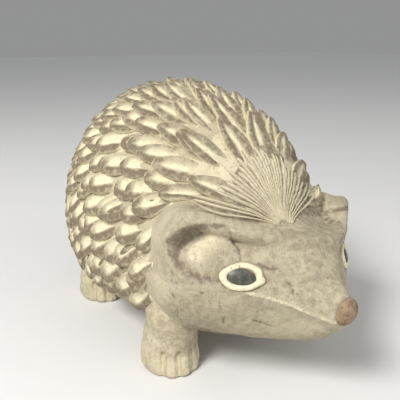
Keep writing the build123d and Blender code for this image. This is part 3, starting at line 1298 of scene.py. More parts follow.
@dataclass
class QuillCoat:
    """The coat of carved lobes, ring by ring.

    Attributes:
        figure: The form that they lie on.
        carving: How they are carved.
        rings: How many rings.
        first_reach: How far the first ring's roots are from the peak.
        last_reach: How far the last ring's are.
        pitch: How far apart the lobes of a ring are.
        stagger: How far behind its neighbours every second one is.
        even_rings: How many rings at the rear aren't staggered.
        wander: How far a root strays from its place, as an angle.
        probe: The angle over which the way from the peak is measured.
        length: A flank lobe's length.
        width: Its width.
        stand: How far its tip stands up at least.
        crest_more: How much longer and wider lobes are on the crest, and how
            much farther they stand up.
        crest_half_width: How far from the middle plane the crest reaches.
        crest_fade: Between which reaches the crest gets lower.
        crest_loss: How much of it is lost there.
        blade_share: How soon towards the crest lobes turn to blades.
        length_range: How much shorter and longer single lobes are.
        width_range: How much narrower and wider.
        stand_range: How much farther they stand up.
        shade_range: How dusty they are.
        flank_fall: How far lobes on the flanks turn down, in degrees.
        fall_curve: How late towards the flanks they do.
        fall_spread: How far single ones turn otherwise.
        short_share: How long a lobe is where a full one doesn't fit.
        hem: The height below which there are none.
        test_shares: Where along a lobe its clearances are measured.
        cheek_height: Up to which height the face's edge stops lobes.
        face_edge: How far forward they reach there.
        edge_height: Below which height that edge swings back.
        edge_slope: How much.
        brow_end: Ahead of which place lobes clear the brow.
        brow_room: By how much.
        sunk_room: How far the others may run into the head.
        across_faces: A lobe's faces across.
        along_faces: A lobe's faces along.
        columns: Where its rows of vertices lie across: close together at its edges.
        root_depth: How far its skirt reaches into the dome.
        skirt: How far the template's skirt reaches down.
        grit: The layers of unevenness of its faces.
    """

    figure: Figure
    carving: Carving = Carving()
    rings: int = 16
    first_reach: float = 25.0
    last_reach: float = 209.0
    pitch: float = 9.3
    stagger: float = 6.2
    even_rings: int = 2
    wander: float = 0.012
    probe: float = 0.01
    length: float = 20.0
    width: float = 11.6
    stand: float = 0.2
    crest_more: tuple[float, float, float] = (10.0, 0.6, 2.0)
    crest_half_width: float = 34.0
    crest_fade: Range = (90.0, 200.0)
    crest_loss: float = 0.8
    blade_share: float = 1.5
    length_range: Range = (0.86, 1.18)
    width_range: Range = (0.86, 1.12)
    stand_range: Range = (0.0, 0.9)
    shade_range: Range = (0.8, 1.1)
    flank_fall: float = 23.0
    fall_curve: float = 1.5
    fall_spread: float = 5.0
    short_share: float = 0.68
    hem: float = 28.0
    test_shares: tuple[float, ...] = (0.0, 0.55, 1.0)
    cheek_height: float = 70.0
    face_edge: float = -41.0
    edge_height: float = 50.0
    edge_slope: float = 0.25
    brow_end: float = -40.0
    brow_room: float = 3.5
    sunk_room: float = -2.0
    across_faces: int = 6
    along_faces: int = 9
    columns: tuple[float, ...] = (-1.0, -0.88, -0.44, 0.0, 0.44, 0.88, 1.0)
    root_depth: float = 1.6
    skirt: float = 1.0
    grit: tuple[Swell, ...] = (Swell(0.16, 5.0, 31), Swell(0.09, 2.4, 32))

    def template(self) -> bpy.types.Object:
        """Models the one lobe that all are copied from: a grid with a skirt and a floor.

        Returns:
            The lobe, two units long and wide.
        """
        deselect()
        bpy.ops.mesh.primitive_grid_add(x_subdivisions=self.along_faces, y_subdivisions=self.across_faces,
                                        size=2 * MM)
        lobe = bpy.context.object
        lobe.name = "lobe"
        bpy.ops.object.mode_set(mode="EDIT")
        bpy.ops.mesh.select_all(action="SELECT")
        bpy.ops.mesh.region_to_loop()
        bpy.ops.mesh.extrude_edges_move(TRANSFORM_OT_translate={"value": (0, 0, -self.skirt * MM)})
        bpy.ops.mesh.edge_face_add()
        bpy.ops.mesh.select_all(action="SELECT")
        bpy.ops.mesh.normals_make_consistent(inside=False)
        bpy.ops.object.mode_set(mode="OBJECT")
        return lobe

    def seats(self, ring: int, angle: float) -> list[tuple[float, int]]:
        """Spaces the lobes of one ring evenly, to both sides of the crest.

        Args:
            ring: The ring, from 1.
            angle: The ring's angle from the peak.

        Returns:
            For each lobe its angle round the peak, and 1 if it is set back, else 0.
        """
        turns = np.radians(np.arange(0, 181, 1.0))
        line = self.figure.dome.point(np.full_like(turns, angle), turns)
        lengths = np.concatenate([[0], np.cumsum(np.linalg.norm(np.diff(line, axis=0), axis=1))])
        spots = np.arange((ring % 2) * self.pitch / 2, lengths[-1], self.pitch)
        swings = np.interp(spots, lengths, turns)
        return sorted({(float(side * swing), index % 2)
                       for index, swing in enumerate(swings) for side in (-1, 1)})

    def bearing(self, angle: float, swing: float) -> tuple[np.ndarray, np.ndarray, np.ndarray]:
        """Takes the bearing of a place on the dome.

        Args:
            angle: Its angle from the peak.
            swing: Its angle round it.

        Returns:
            The place, the way along the dome from the peak, and the way across that.
        """
        dome = self.figure.dome
        root = dome.point(np.array([angle]), np.array([swing]))
        near = dome.point(np.array([angle + self.probe]), np.array([swing]))
        normal = facing(dome.distance, root)[0]
        lie = near[0] - root[0]
        lie -= normal * (lie @ normal)
        lie /= np.linalg.norm(lie)
        return root[0], lie, np.cross(normal, lie)

    def places(self, ring: int) -> list[Lobe]:
        """Sets out the lobes of one ring.

        Args:
            ring: The ring, from 1.

        Returns:
            Its lobes.
        """
        dome, chance = self.figure.dome, np.random.default_rng(SEED + ring)
        reach = self.first_reach + (self.last_reach - self.first_reach) * (ring - 1) / (self.rings - 1)
        angle = dome.angle_at(reach)
        stagger = self.stagger if ring <= self.rings - self.even_rings else 0.0
        back = dome.angle_at(reach + stagger) - angle
        fade = 1 - self.crest_loss * soft_step(np.array([reach]), *self.crest_fade)[0]
        longer, wider, higher = self.crest_more
        lobes = []
        for swing, behind in self.seats(ring, angle):
            nudge = chance.normal(0, self.wander, 2) + np.array([back * behind, 0.0])
            root, lie, across = self.bearing(angle + nudge[0], swing + nudge[1])
            side_share = min(1.0, abs(root[0]) / dome.radii[0])
            fall = self.flank_fall * side_share**self.fall_curve + chance.normal(0, self.fall_spread)
            lie, across = turned(lie, across, fall if across[2] > 0 else -fall)
            crest = max(0.0, 1 - abs(root[0]) / self.crest_half_width) * fade
            lobes.append(Lobe(
                root=root, lie=lie, across=across,
                length=self.length * chance.uniform(*self.length_range) + longer * crest,
                width=self.width * chance.uniform(*self.width_range) + wider * crest,
                stand=self.stand + higher * crest + chance.uniform(*self.stand_range),
                keen=float(np.clip(crest * self.blade_share, 0, 1)),
                shade=float(chance.uniform(*self.shade_range)),
                skew=float(math.copysign(side_share, across[2]))))
        tries = [lobe if self.fits(lobe) else replace(lobe, length=lobe.length * self.short_share)
                 for lobe in lobes]
        return [lobe for lobe in tries if self.fits(lobe)]

    def fits(self, lobe: Lobe) -> bool:
        """Tests a lobe's place.

        Args:
            lobe: The lobe.

        Returns:
            Whether it clears the hem, the face and the front legs.
        """
        steps = np.array(self.test_shares)[:, None] * lobe.length
        spots = lobe.root + lobe.lie * steps
        root, middle, tip = settle(self.figure.dome.distance, spots, rounds=3, stride=9.0)
        if min(tip[2], root[2], middle[2]) < self.hem:
            return False
        edge = self.face_edge + self.edge_slope * max(0.0, self.edge_height - middle[2])
        if middle[2] < self.cheek_height and middle[1] < edge:
            return False
        room = self.brow_room if root[1] < self.brow_end else self.sunk_room
        return bool(self.figure.skull(middle[None])[0] > room)

    def cut(self, along: np.ndarray, aside: np.ndarray, lobe: Lobe) -> tuple[np.ndarray, ...]:
        """Shapes the upper face of a lobe.

        Args:
            along: How far along the lobe each vertex is, from 0 to 1.
            aside: How far across it, from -1 to 1.
            lobe: The lobe.

        Returns:
            The half width, height, wash, and dust with painted light and shade, at each vertex.
        """
        carving = self.carving
        wash, dust_and_shade = carving.tints(along, aside, lobe)
        return carving.half_width(along, lobe), carving.height(along, aside, lobe), wash, dust_and_shade

    def press(self, lobe: Lobe, grid: np.ndarray) -> tuple[np.ndarray, np.ndarray, np.ndarray]:
        """Presses a copy of the lobe on the skin.

        Args:
            lobe: Where it goes.
            grid: The template's vertices: along, across and height.

        Returns:
            The vertices' places, their wash and their dust.
        """
        along = np.clip((grid[:, 0] + 1) / 2, 0, 1)
        aside = np.interp(grid[:, 1], np.linspace(-1, 1, len(self.columns)), self.columns)
        half, height, wash, dust_and_shade = self.cut(along, aside, lobe)
        low = grid[:, 2] < -self.skirt / 2
        flat = lobe.root + lobe.lie * (along * lobe.length)[:, None] + lobe.across * (aside * half)[:, None]
        base = settle(self.figure.hide, flat, rounds=3, stride=6.0)
        out = facing(self.figure.hide, base)
        height = np.where(low, -self.root_depth, height)
        return base + out * height[:, None], np.where(low, 1.0, wash), np.where(low, 0.0, dust_and_shade)

    def gather(self, name: str, lobes: list[Lobe], node: str,
               material: bpy.types.Material) -> bpy.types.Object:
        """Copies the template to every place and joins the copies.

        Args:
            name: The new piece's name.
            lobes: Where the copies go.
            node: The CAD node that it stands for.
            material: Its finish.

        Returns:
            The piece.
        """
        template = self.template()
        grid = points_of(template)
        copies = []
        for lobe in lobes:
            copy = template.copy()
            copy.data = template.data.copy()
            bpy.context.scene.collection.objects.link(copy)
            points, wash, dust_and_shade = self.press(lobe, grid)
            place_points(copy, points)
            paint(copy, "wash", wash)
            paint(copy, "dust_and_shade", dust_and_shade)
            copies.append(copy)
        bpy.data.objects.remove(template, do_unlink=True)
        deselect()
        for copy in copies:
            copy.select_set(True)
        bpy.context.view_layer.objects.active = copies[0]
        bpy.ops.object.join()
        piece = bpy.context.object
        piece.name = name
        finish_modifier(piece, "SUBSURF", levels=1, render_levels=1)
        points = points_of(piece)
        out = facing(self.figure.dome.distance, points)
        place_points(piece, points + relief(points, self.grit)[:, None] * out)
        shade_smooth(piece)
        dress(piece, material)
        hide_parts(node)
        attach(piece, "root")
        LOG.info("%s: %d lobes, %d faces", name, len(lobes), len(piece.data.polygons))
        return piece

    def build(self, material: bpy.types.Material) -> list[bpy.types.Object]:
        """Builds every ring.

        Args:
            material: Their finish.

        Returns:
            The rings.
        """
        return [self.gather(f"quills_{ring:02d}", self.places(ring), f"quill_ring_{ring:02d}", material)
                for ring in range(1, self.rings + 1)]


@dataclass
class Comb(QuillCoat):
    """The fine ridges that fan from the peak on the forehead.

    Attributes:
        rings: One ring.
        across_faces: A ridge's faces across.
        test_shares: Where along a ridge its clearances are measured.
        shade_range: How dusty and pale ridges are.
        ridges: How many ridges.
        spread: How far they fan out to each side, in degrees.
        peak: The place that they fan out from.
        inner: How far from there they start.
        outer: How far away they end.
        outer_range: How much nearer and farther single ones end.
        side_reach: How much farther they end at the sides.
        side_turns: Between which angles they get to that.
        ridge_width: A ridge's greatest width.
        ridge_height: Its height.
        base_height: How far its edges stand up.
        thin_width: The share of its width that it has at the peak.
        thin_height: The share of its height that it has there.
        arch: How round its crown is.
        grown_share: Where it has its greatest width.
        taper: Where its width and its height start to taper to the far end.
        taper_width: How much of the width is lost there.
        taper_height: How much of the height.
        crown_gain: How broadly its crown is washed.
        crown_cut: How much of that is lost at its edges.
        wash_share: How pale its crown is.
        dust_share: How dusty its foot is.
        dusty_from: From where on its foot is fully dusty.
        middle_room: How far its middle may lie inside the brow.
        tip_room: How far its tip clears the brow.
    """

    rings: int = 1
    across_faces: int = 4
    test_shares: tuple[float, ...] = (0.5, 1.0)
    shade_range: Range = (0.6, 0.95)
    ridges: int = 38
    spread: float = 106.0
    peak: Place = (0.0, -75.5, 76.0)
    inner: float = 4.0
    outer: float = 27.0
    outer_range: Range = (0.85, 1.1)
    side_reach: float = 30.0
    side_turns: Range = (50.0, 96.0)
    ridge_width: float = 3.0
    ridge_height: float = 1.8
    base_height: float = 0.1
    thin_width: float = 0.28
    thin_height: float = 0.35
    arch: float = 1.6
    grown_share: float = 0.9
    taper: Range = (0.88, 0.9)
    taper_width: float = 0.8
    taper_height: float = 0.7
    crown_gain: float = 1.6
    crown_cut: float = 0.4
    wash_share: float = 0.75
    dust_share: float = 0.7
    dusty_from: float = 0.3
    middle_room: float = -2.5
    tip_room: float = 1.0

    def places(self, ring: int) -> list[Lobe]:
        """Sets out the ridges.

        Args:
            ring: The ring: there is only the first. It is not used.

        Returns:
            The ridges.
        """
        dome, chance = self.figure.dome, np.random.default_rng(SEED)
        peak = np.array(self.peak)
        lobes = []
        for index in range(self.ridges):
            turn = math.radians(self.spread * (2 * index / (self.ridges - 1) - 1))
            swing = turn + chance.normal(0, self.wander)
            wide = soft_step(np.array([abs(math.degrees(swing))]), *self.side_turns)[0]
            outer = self.outer * chance.uniform(*self.outer_range) + self.side_reach * wide
            end = dome.point(np.array([dome.angle_at(outer)]), np.array([swing]))
            run = end[0] - peak
            length = float(np.linalg.norm(run))
            lie = run / length
            across = np.cross(facing(dome.distance, end)[0], lie)
            lobes.append(Lobe(
                root=peak + lie * self.inner, lie=lie, across=across / np.linalg.norm(across),
                length=length, width=self.ridge_width,
                shade=float(chance.uniform(*self.shade_range))))
        return [lobe for lobe in lobes if self.fits(lobe)]

    def fits(self, lobe: Lobe) -> bool:
        """Tests a ridge's place.

        Args:
            lobe: The ridge.

        Returns:
            Whether it lies clear of the brow.
        """
        spots = np.array([lobe.root + lobe.lie * lobe.length * share for share in self.test_shares])
        middle, tip = self.figure.skull(settle(self.figure.dome.distance, spots, rounds=2))
        return bool(middle > self.middle_room and tip > self.tip_room)

    def cut(self, along: np.ndarray, aside: np.ndarray, lobe: Lobe) -> tuple[np.ndarray, ...]:
        """Shapes a ridge: thin at the peak, wider and taller away from it.

        Args:
            along: How far along the ridge each vertex is, from 0 to 1.
            aside: How far across it, from -1 to 1.
            lobe: The ridge.

        Returns:
            The half width, the height, the wash and the dust at each vertex.
        """
        width_taper, height_taper = self.taper
        grown = self.thin_width + (1 - self.thin_width) * soft_step(along, 0.0, self.grown_share)
        half = grown * lobe.width / 2 * (1 - self.taper_width * soft_step(along, width_taper, 1.0))
        crown = 1 - np.abs(aside) ** self.arch
        height = self.ridge_height * (self.thin_height + (1 - self.thin_height) * along) * crown
        height = height * (1 - self.taper_height * soft_step(along, height_taper, 1.0)) + self.base_height
        crest = np.clip(crown * self.crown_gain - self.crown_cut, 0, 1)
        wash = self.wash_share * crest * lobe.shade
        return half, height, wash, self.dust_share * (1 - crest) * soft_step(along, 0.0, self.dusty_from)


# The moulded skin, the eyes and the studio


@dataclass
class Skin:
    """The moulded head and shoulders and the legs.

    Stretches run along the body, from the snout back.

    Attributes:
        figure: The form.
        legs: The legs.
        grain: The size of a face.
        head_heart: A place inside the head that its skin is seen from all round.
        head_reach: How far the farthest part of the skin is from there.
        leg_heart: How high that place is in a leg.
        leg_reach: How far its farthest part is from there.
        crescent: Where the dark line of painted shade, with some dark stain, on the back wall
        of an ear's hollow lies, and how wide it is.
        crescent_stretch: Along which stretch it fades in.
        floor_depths: Between which depths in the hollow its pale floor fades out.
        floor_stretch: Along which stretch the floor fades in.
        lip_width: How wide the pale line on the mouth ridge is.
        lip_stretch: Along which stretch it fades out.
        mask_rise: Between which heights over that ridge the face gets dusty.
        mask_stretch: Along which stretch that fades out.
        neck_stretch: Along which stretch the neck gets paler.
        eye_line: Where the dark line round an eye lies, and how wide it is.
        eye_line_dust: How dark it is.
        furrow_middle: Where the dark ground under the comb has its middle.
        furrow_plan: How far it reaches to the sides and along.
        furrow_edge: Between which shares of that it fades out.
        furrow_rise: How far off the brow it fades in.
        joint_rise: How far off a leg the pale crease round it lies.
        joint_width: How wide that is.
        joint_heights: Between which heights it fades in.
        floor_wash: How pale the floor of an ear's hollow is.
        lip_wash: How pale the line on the mouth ridge is.
        neck_wash: How pale the neck is.
        joint_wash: How pale the crease at the legs is.
        line_clean: How much wash dark lines take away.
        crescent_shade_and_dust: How dark that line of painted shade and stain is.
        mask_dust: How dusty the face is.
        crack_dust: How dark cracks are.
        furrow_dust: How dark the ground under the comb is.
        lip_clean: How much dust the mouth ridge loses.
        crack_depth: How deep cracks are pressed.
        lip_height: How high the mouth ridge stands.
        head_swells: The unevenness of the head.
        paw_heights: Between which heights a paw's wash fades out.
        paw_wash: How pale the front of a paw is.
        sole_height: How high the dust at the soles reaches.
        sole_dust: How much there is.
        leg_swells: The unevenness of a leg.
        leg_heights: Between which heights that fades in.
    """

    figure: Figure
    legs: tuple[Leg, ...]
    grain: float = 0.85
    quick_grain: float = 1.4
    head_heart: Place = (0.0, -45.0, 56.0)
    head_reach: float = 85.0
    leg_heart: float = 15.0
    leg_reach: float = 34.0
    crescent: tuple[float, float] = (-1.0, 1.5)
    crescent_stretch: Range = (-84.0, -68.0)
    floor_depths: Range = (-4.5, -2.0)
    floor_stretch: Range = (-76.0, -60.0)
    lip_width: float = 0.8
    lip_stretch: Range = (-84.0, -76.0)
    mask_rise: Range = (0.0, 3.0)
    mask_stretch: Range = (-70.0, -50.0)
    neck_stretch: Range = (-62.0, -46.0)
    eye_line: tuple[float, float] = (1.05, 0.08)
    eye_line_dust: float = 0.7
    furrow_middle: float = -75.0
    furrow_plan: tuple[float, float] = (60.0, 34.0)
    furrow_edge: Range = (0.75, 1.0)
    furrow_rise: Range = (0.2, 1.5)
    joint_rise: float = 0.6
    joint_width: float = 0.8
    joint_heights: Range = (20.0, 26.0)
    floor_wash: float = 0.75
    lip_wash: float = 0.8
    neck_wash: float = 0.38
    joint_wash: float = 0.8
    line_clean: float = 0.9
    crescent_shade_and_dust: float = 0.9
    mask_dust: float = 0.32
    crack_dust: float = 0.95
    furrow_dust: float = 0.75
    lip_clean: float = 0.3
    crack_depth: float = 0.45
    lip_height: float = 0.3
    head_swells: tuple[Swell, ...] = (Swell(0.26, 17.0, 5), Swell(0.10, 5.0, 6))
    paw_heights: Range = (8.0, 15.0)
    paw_wash: float = 0.8
    sole_height: float = 2.0
    sole_dust: float = 0.15
    leg_swells: tuple[Swell, ...] = (Swell(0.2, 9.0, 8),)
    leg_heights: Range = (0.5, 3.0)

    @property
    def face_size(self) -> float:
        """The size of a moulded face."""
        return self.grain

    def head_marks(self, points: np.ndarray) -> tuple[np.ndarray, np.ndarray, np.ndarray]:
        """Paints the head and shoulders.

        Args:
            points: The vertices' places.

        Returns:
            The wash, the dust with the painted shade in the ears' hollows, and the height
            of the lines at each vertex.
        """
        level = self.figure.head.upright(points)
        along = level[:, 1]
        rim = np.min([ear.rim(level) for ear in self.figure.ears], axis=0)
        # The crescent is painted shade on the back wall of each ear's hollow, with some dark stain.
        crescent = soft_line(rim, *self.crescent) * soft_step(along, *self.crescent_stretch)
        floor = (1 - soft_step(rim, *self.floor_depths)) * soft_step(along, *self.floor_stretch)
        ridge = level[:, 2] - self.figure.head.section(level)[2]
        lip = soft_line(ridge, 0.0, self.lip_width) * (1 - soft_step(along, *self.lip_stretch))
        mask = soft_step(ridge, *self.mask_rise) * (1 - soft_step(along, *self.mask_stretch)) * (1 - floor)
        rings = np.min([Eye(self.figure, side).reach(points) for side in Side], axis=0)
        outlines = self.eye_line_dust * soft_line(rings, *self.eye_line)
        cracks = np.maximum(self.figure.cracked(points), outlines)
        spread = np.hypot(points[:, 0] / self.furrow_plan[0],
                          (points[:, 1] - self.furrow_middle) / self.furrow_plan[1])
        clear = soft_step(self.figure.skull(points), *self.furrow_rise)
        furrow = clear * (1 - soft_step(spread, *self.furrow_edge))
        neck = soft_step(along, *self.neck_stretch)
        joint = np.min([np.abs(leg.distance(points) - self.joint_rise) for leg in self.legs], axis=0)
        crease = soft_line(joint, 0.0, self.joint_width) * soft_step(points[:, 2], *self.joint_heights)
        nape = self.neck_wash * neck * (1 - crescent) * (1 - furrow)
        wash = np.maximum.reduce([self.floor_wash * floor, self.lip_wash * lip, nape,
                                  self.joint_wash * crease])
        dust_and_shade = np.maximum.reduce([self.crescent_shade_and_dust * crescent, self.mask_dust * mask,
                                  self.crack_dust * cracks, self.furrow_dust * furrow])
        wash = np.clip(wash - self.line_clean * np.maximum(crescent, cracks), 0, 1)
        dust_and_shade = np.clip(dust_and_shade - self.lip_clean * lip, 0, 1)
        swell = relief(points, self.head_swells) - self.crack_depth * cracks + self.lip_height * lip
        return wash, dust_and_shade, swell

    def head(self, material: bpy.types.Material) -> bpy.types.Object:
        """Moulds the head and shoulders.

        Args:
            material: Their finish.

        Returns:
            The piece.
        """
        shape = self.figure.neck
        piece = mould("head_and_shoulders", shape, self.head_heart, self.head_reach, self.face_size)
        points = points_of(piece)
        wash, dust_and_shade, swell = self.head_marks(points)
        paint(piece, "wash", wash)
        paint(piece, "dust_and_shade", dust_and_shade)
        place_points(piece, points + facing(shape, points) * swell[:, None])
        dress(piece, material)
        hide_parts("head_shell", "left_ear", "right_ear")
        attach(piece, "root")
        LOG.info("%s: %d faces", piece.name, len(piece.data.polygons))
        return piece

    def leg(self, leg: Leg, material: bpy.types.Material) -> bpy.types.Object:
        """Moulds one leg.

        Args:
            leg: The leg.
            material: Its finish.

        Returns:
            The piece.
        """
        heart = (leg.side.value * leg.out, leg.station, self.leg_heart)
        piece = mould(f"{leg.name}_skin", leg.distance, heart, self.leg_reach, self.face_size)
        points = points_of(piece)
        out = facing(leg.distance, points)
        low = 1 - soft_step(points[:, 2], *self.paw_heights)
        forward = np.clip(-out[:, 1], 0, 1)
        paint(piece, "wash", self.paw_wash * low * forward)
        paint(piece, "dust_and_shade", self.sole_dust * (1 - soft_step(points[:, 2], 0, self.sole_height)))
        lift = relief(points, self.leg_swells) * soft_step(points[:, 2], *self.leg_heights)
        place_points(piece, points + out * lift[:, None])
        dress(piece, material)
        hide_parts(leg.name)
        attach(piece, "root")
        LOG.info("%s: %d faces", piece.name, len(piece.data.polygons))
        return piece


@dataclass
class Eye:
    """A hand-laid rim of slip round one eye, with a pointed corner in front.

    Attributes:
        figure: The form that it lies on.
        side: Which eye.
        outer: Half the rim's length and height.
        inner: Half the opening's length and height.
        thick: How far the rim stands up.
        seat: How far its underside stands off the skin.
        corner: Where its point is, as an angle, and how far it reaches.
        corner_width: How wide the point is, as an angle.
        wobbles: How far its outline strays, three and five times round.
        climb: How far it climbs towards the front.
        near: How far from its middle the skin is marked.
        far: What counts as far away there.
        ring_radius: The radius of the ring that it is bent from.
        ring_faces: The ring's faces, round it and round its band.
        ring_wash: How pale it is.
        foot_dust: How dusty its foot is.
        foot_depth: How far below its middle that starts.
    """

    figure: Figure
    side: Side
    outer: tuple[float, float] = (8.6, 5.6)
    inner: tuple[float, float] = (5.6, 3.1)
    thick: float = 1.1
    seat: float = 0.1
    corner: tuple[float, float] = (-22.0, 0.20)
    corner_width: float = 0.30
    wobbles: tuple[float, float] = (0.025, 0.02)
    climb: float = 0.06
    near: float = 15.0
    far: float = 9.0
    ring_radius: float = 10.0
    ring_faces: tuple[int, int] = (72, 14)
    ring_wash: float = 0.3
    foot_dust: float = 0.8
    foot_depth: float = 0.1

    def axes(self) -> tuple[np.ndarray, np.ndarray, np.ndarray]:
        """Finds the eye on the skin.

        Returns:
            Its middle, the way forward along the skin and the way up.
        """
        low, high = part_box(f"{self.side.word}_eye_rim")
        middle = settle(self.figure.skull, np.array([(low + high) / 2 / MM]), rounds=4)[0]
        out = facing(self.figure.skull, middle[None])[0]
        ahead = np.array([out[1], -out[0], self.climb * self.side.value]) * self.side.value
        ahead -= out * (ahead @ out)
        ahead /= np.linalg.norm(ahead)
        up = np.cross(out, ahead)
        return middle, ahead, up if up[2] > 0 else -up

    def reach(self, points: np.ndarray) -> np.ndarray:
        """Measures how far from the eye's middle places are.

        Args:
            points: Places on the skin.

        Returns:
            For each a share of the way to the rim's outer edge, which is 1.
        """
        middle, ahead, up = self.axes()
        offset = points - middle
        flat = np.stack([offset @ ahead / self.outer[0], offset @ up / self.outer[1]], axis=1)
        angle = np.arctan2(flat[:, 1], flat[:, 0])
        near = np.linalg.norm(offset, axis=1) < self.near
        return np.where(near, np.linalg.norm(flat, axis=1) / self.outline(angle), self.far)

    def outline(self, angle: np.ndarray) -> np.ndarray:
        """Finds how far out the rim is pulled.

        Args:
            angle: Angles round the eye.

        Returns:
            The share of the plain oval's radius at each.
        """
        point = self.corner[1] * soft_line(angle, math.radians(self.corner[0]), self.corner_width)
        slow, fast = self.wobbles
        return 1 + point + slow * np.sin(3 * angle + self.side.value) + fast * np.sin(5 * angle)

    def build(self, material: bpy.types.Material) -> bpy.types.Object:
        """Models the rim from a ring and lays it on the skin.

        Args:
            material: Its finish.

        Returns:
            The piece.
        """
        deselect()
        bpy.ops.mesh.primitive_torus_add(major_segments=self.ring_faces[0], minor_segments=self.ring_faces[1],
                                         major_radius=self.ring_radius * MM, minor_radius=MM)
        piece = bpy.context.object
        piece.name = f"{self.side.word}_eye_ring"
        ring = points_of(piece)
        angle = np.arctan2(ring[:, 1], ring[:, 0])
        band = np.hypot(ring[:, 0], ring[:, 1]) - self.ring_radius
        rise = ring[:, 2]
        pull = self.outline(angle)
        sizes = [(inside * (0.5 + 0.5 * pull) + outside * pull) / 2 + band * (outside * pull - inside) / 2
                 for inside, outside in zip(self.inner, self.outer)]
        middle, ahead, up = self.axes()
        flat = middle + ahead * (np.cos(angle) * sizes[0])[:, None] + up * (np.sin(angle) * sizes[1])[:, None]
        base = settle(self.figure.hide, flat, rounds=3)
        place_points(piece, base + facing(self.figure.hide, base) * (rise * self.thick + self.seat)[:, None])
        shade_smooth(piece)
        dress(piece, material)
        paint(piece, "wash", np.full(len(ring), self.ring_wash))
        paint(piece, "dust_and_shade", np.clip(-rise - self.foot_depth, 0, 1) * self.foot_dust)
        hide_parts(f"{self.side.word}_eye_rim")
        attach(piece, "root")
        LOG.info("%s: %d faces", piece.name, len(piece.data.polygons))
        return piece


@dataclass(frozen=True)
class Lamp:
    """One soft lamp.

    Attributes:
        name: Its name.
        place: Where it hangs.
        power: Its power in watts.
        size: How wide it is.
    """

    name: str
    place: Place
    power: float
    size: float

    def hang(self, target: Place) -> None:
        """Hangs the lamp.

        Args:
            target: The place that it is aimed at.
        """
        deselect()
        bpy.ops.object.light_add(type="AREA", location=self.place)
        lamp = bpy.context.object
        lamp.name = self.name
        lamp.data.energy = self.power
        lamp.data.size = self.size
        aim = Vector(target) - Vector(self.place)
        lamp.rotation_euler = aim.to_track_quat("-Z", "Y").to_euler()


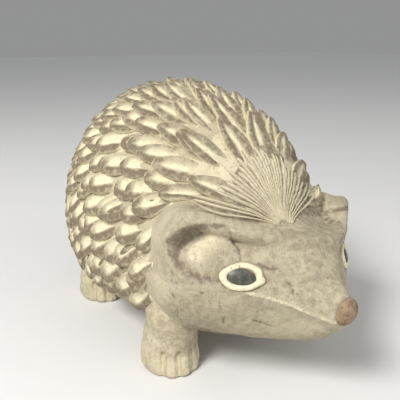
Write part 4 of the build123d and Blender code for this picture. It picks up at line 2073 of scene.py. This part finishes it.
@dataclass
class Studio:
    """The floor, the lamps and the camera, in metres.

    Attributes:
        floor_size: How wide the floor is.
        lamps: The lamps.
        target: The place that they are aimed at.
        sky: The colour of the light from all round.
        sky_strength: How strong it is.
        backdrop: The colour that the camera sees behind the floor.
        camera_place: Where the camera stands.
        look_down: How far it looks down, in degrees.
        azimuth: How far it looks round, in degrees.
        lens: Its focal length in millimetres.
        sensor: Its sensor's width in millimetres.
    """

    floor_size: float = 8.0
    lamps: tuple[Lamp, ...] = (
        Lamp("key", (-0.75, -0.25, 0.85), 13.5, 0.36),
        Lamp("fill", (0.6, -0.9, 0.5), 4.0, 0.9),
    )
    target: Place = (0.0, 0.0, 0.06)
    sky: Colour = (0.95, 0.97, 1.0)
    sky_strength: float = 0.44
    backdrop: Colour = (0.293, 0.294, 0.295)
    camera_place: Place = (-0.1409, -0.2202, 0.150)
    look_down: float = 18.0
    azimuth: float = -33.0
    lens: float = 45.0
    sensor: float = 36.0

    def floor(self) -> None:
        """Lays the floor."""
        deselect()
        bpy.ops.mesh.primitive_plane_add(size=self.floor_size)
        floor = bpy.context.object
        floor.name = "floor"
        dress(floor, PaperFinish().build())

    def world(self) -> None:
        """Lights the figure from all round, with the backdrop's colour for the camera."""
        world = bpy.data.worlds.new("world")
        world.use_nodes = True
        tree = world.node_tree
        light = tree.nodes["Background"]
        light.inputs["Color"].default_value = (*self.sky, 1.0)
        light.inputs["Strength"].default_value = self.sky_strength
        seen = tree.nodes.new("ShaderNodeBackground")
        seen.inputs["Color"].default_value = (*self.backdrop, 1.0)
        path = tree.nodes.new("ShaderNodeLightPath")
        mix = tree.nodes.new("ShaderNodeMixShader")
        tree.links.new(path.outputs["Is Camera Ray"], mix.inputs["Fac"])
        tree.links.new(light.outputs[0], mix.inputs[1])
        tree.links.new(seen.outputs[0], mix.inputs[2])
        tree.links.new(mix.outputs[0], tree.nodes["World Output"].inputs["Surface"])
        bpy.context.scene.world = world

    def camera(self) -> None:
        """Stands the camera where the photograph was taken from."""
        camera = bpy.data.cameras.new("camera")
        camera.lens = self.lens
        camera.sensor_width = self.sensor
        holder = bpy.data.objects.new("camera", camera)
        bpy.context.scene.collection.objects.link(holder)
        holder.location = self.camera_place
        holder.rotation_euler = (math.radians(90 - self.look_down), 0.0, math.radians(self.azimuth))
        bpy.context.scene.camera = holder

    def build(self) -> None:
        """Sets up the whole studio."""
        self.floor()
        for lamp in self.lamps:
            lamp.hang(self.target)
        self.world()
        bpy.context.scene.view_settings.view_transform = "Standard"
        self.camera()


def stand_legs() -> tuple[Leg, ...]:
    """Stands a leg where the frame has one.

    Returns:
        The legs, the front ones first.
    """
    legs = []
    for end in ("front", "rear"):
        for side in Side:
            low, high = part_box(f"{end}_{side.word}_leg")
            legs.append(Leg(side, (low[1] + high[1]) / 2 / MM, end == "front"))
    return tuple(legs)


def main() -> None:
    """Builds the figure, piece by piece, and the studio round it."""
    logging.basicConfig(level=logging.INFO)
    skin = ClayFinish("skin_clay").build()
    quill = ClayFinish("quill_clay", body=(0.50, 0.44, 0.30), wash=(0.72, 0.65, 0.44),
                       dust_and_shade=(0.19, 0.15, 0.095), stained=0.35).build()
    groove = ClayFinish("groove_wash", body=(0.62, 0.55, 0.38), stained=0.3).build()
    foot = ClayFinish("foot_clay", body=(0.53, 0.465, 0.32)).build()
    slip = ClayFinish("eye_slip", body=(0.80, 0.72, 0.50), stained=0.2).build()
    nose = ClayFinish("nose_clay", body=(0.33, 0.235, 0.15), stain=(0.17, 0.095, 0.05), stained=1.0).build()
    glaze = GlazeFinish().build()
    finishes = {"back_shell": groove, "belly_shell": foot, "left_pupil": glaze, "right_pupil": glaze,
                "nose_tip": nose}
    for node, material in finishes.items():
        dress(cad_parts[node], material)
        LOG.info("%s: dressed with %s", node, material.name)
    figure = Figure(Dome(), Head(), (Ear(Side.LEFT), Ear(Side.RIGHT)))
    legs = stand_legs()
    modeller = Skin(figure, legs)
    modeller.head(skin)
    for side in Side:
        Eye(figure, side).build(slip)
    for leg in legs:
        modeller.leg(leg, foot)
    QuillCoat(figure).build(quill)
    comb = Comb(figure)
    comb.gather("comb", comb.places(1), "forehead_comb", quill)
    Studio().build()


if __name__ == "__main__":
    main()
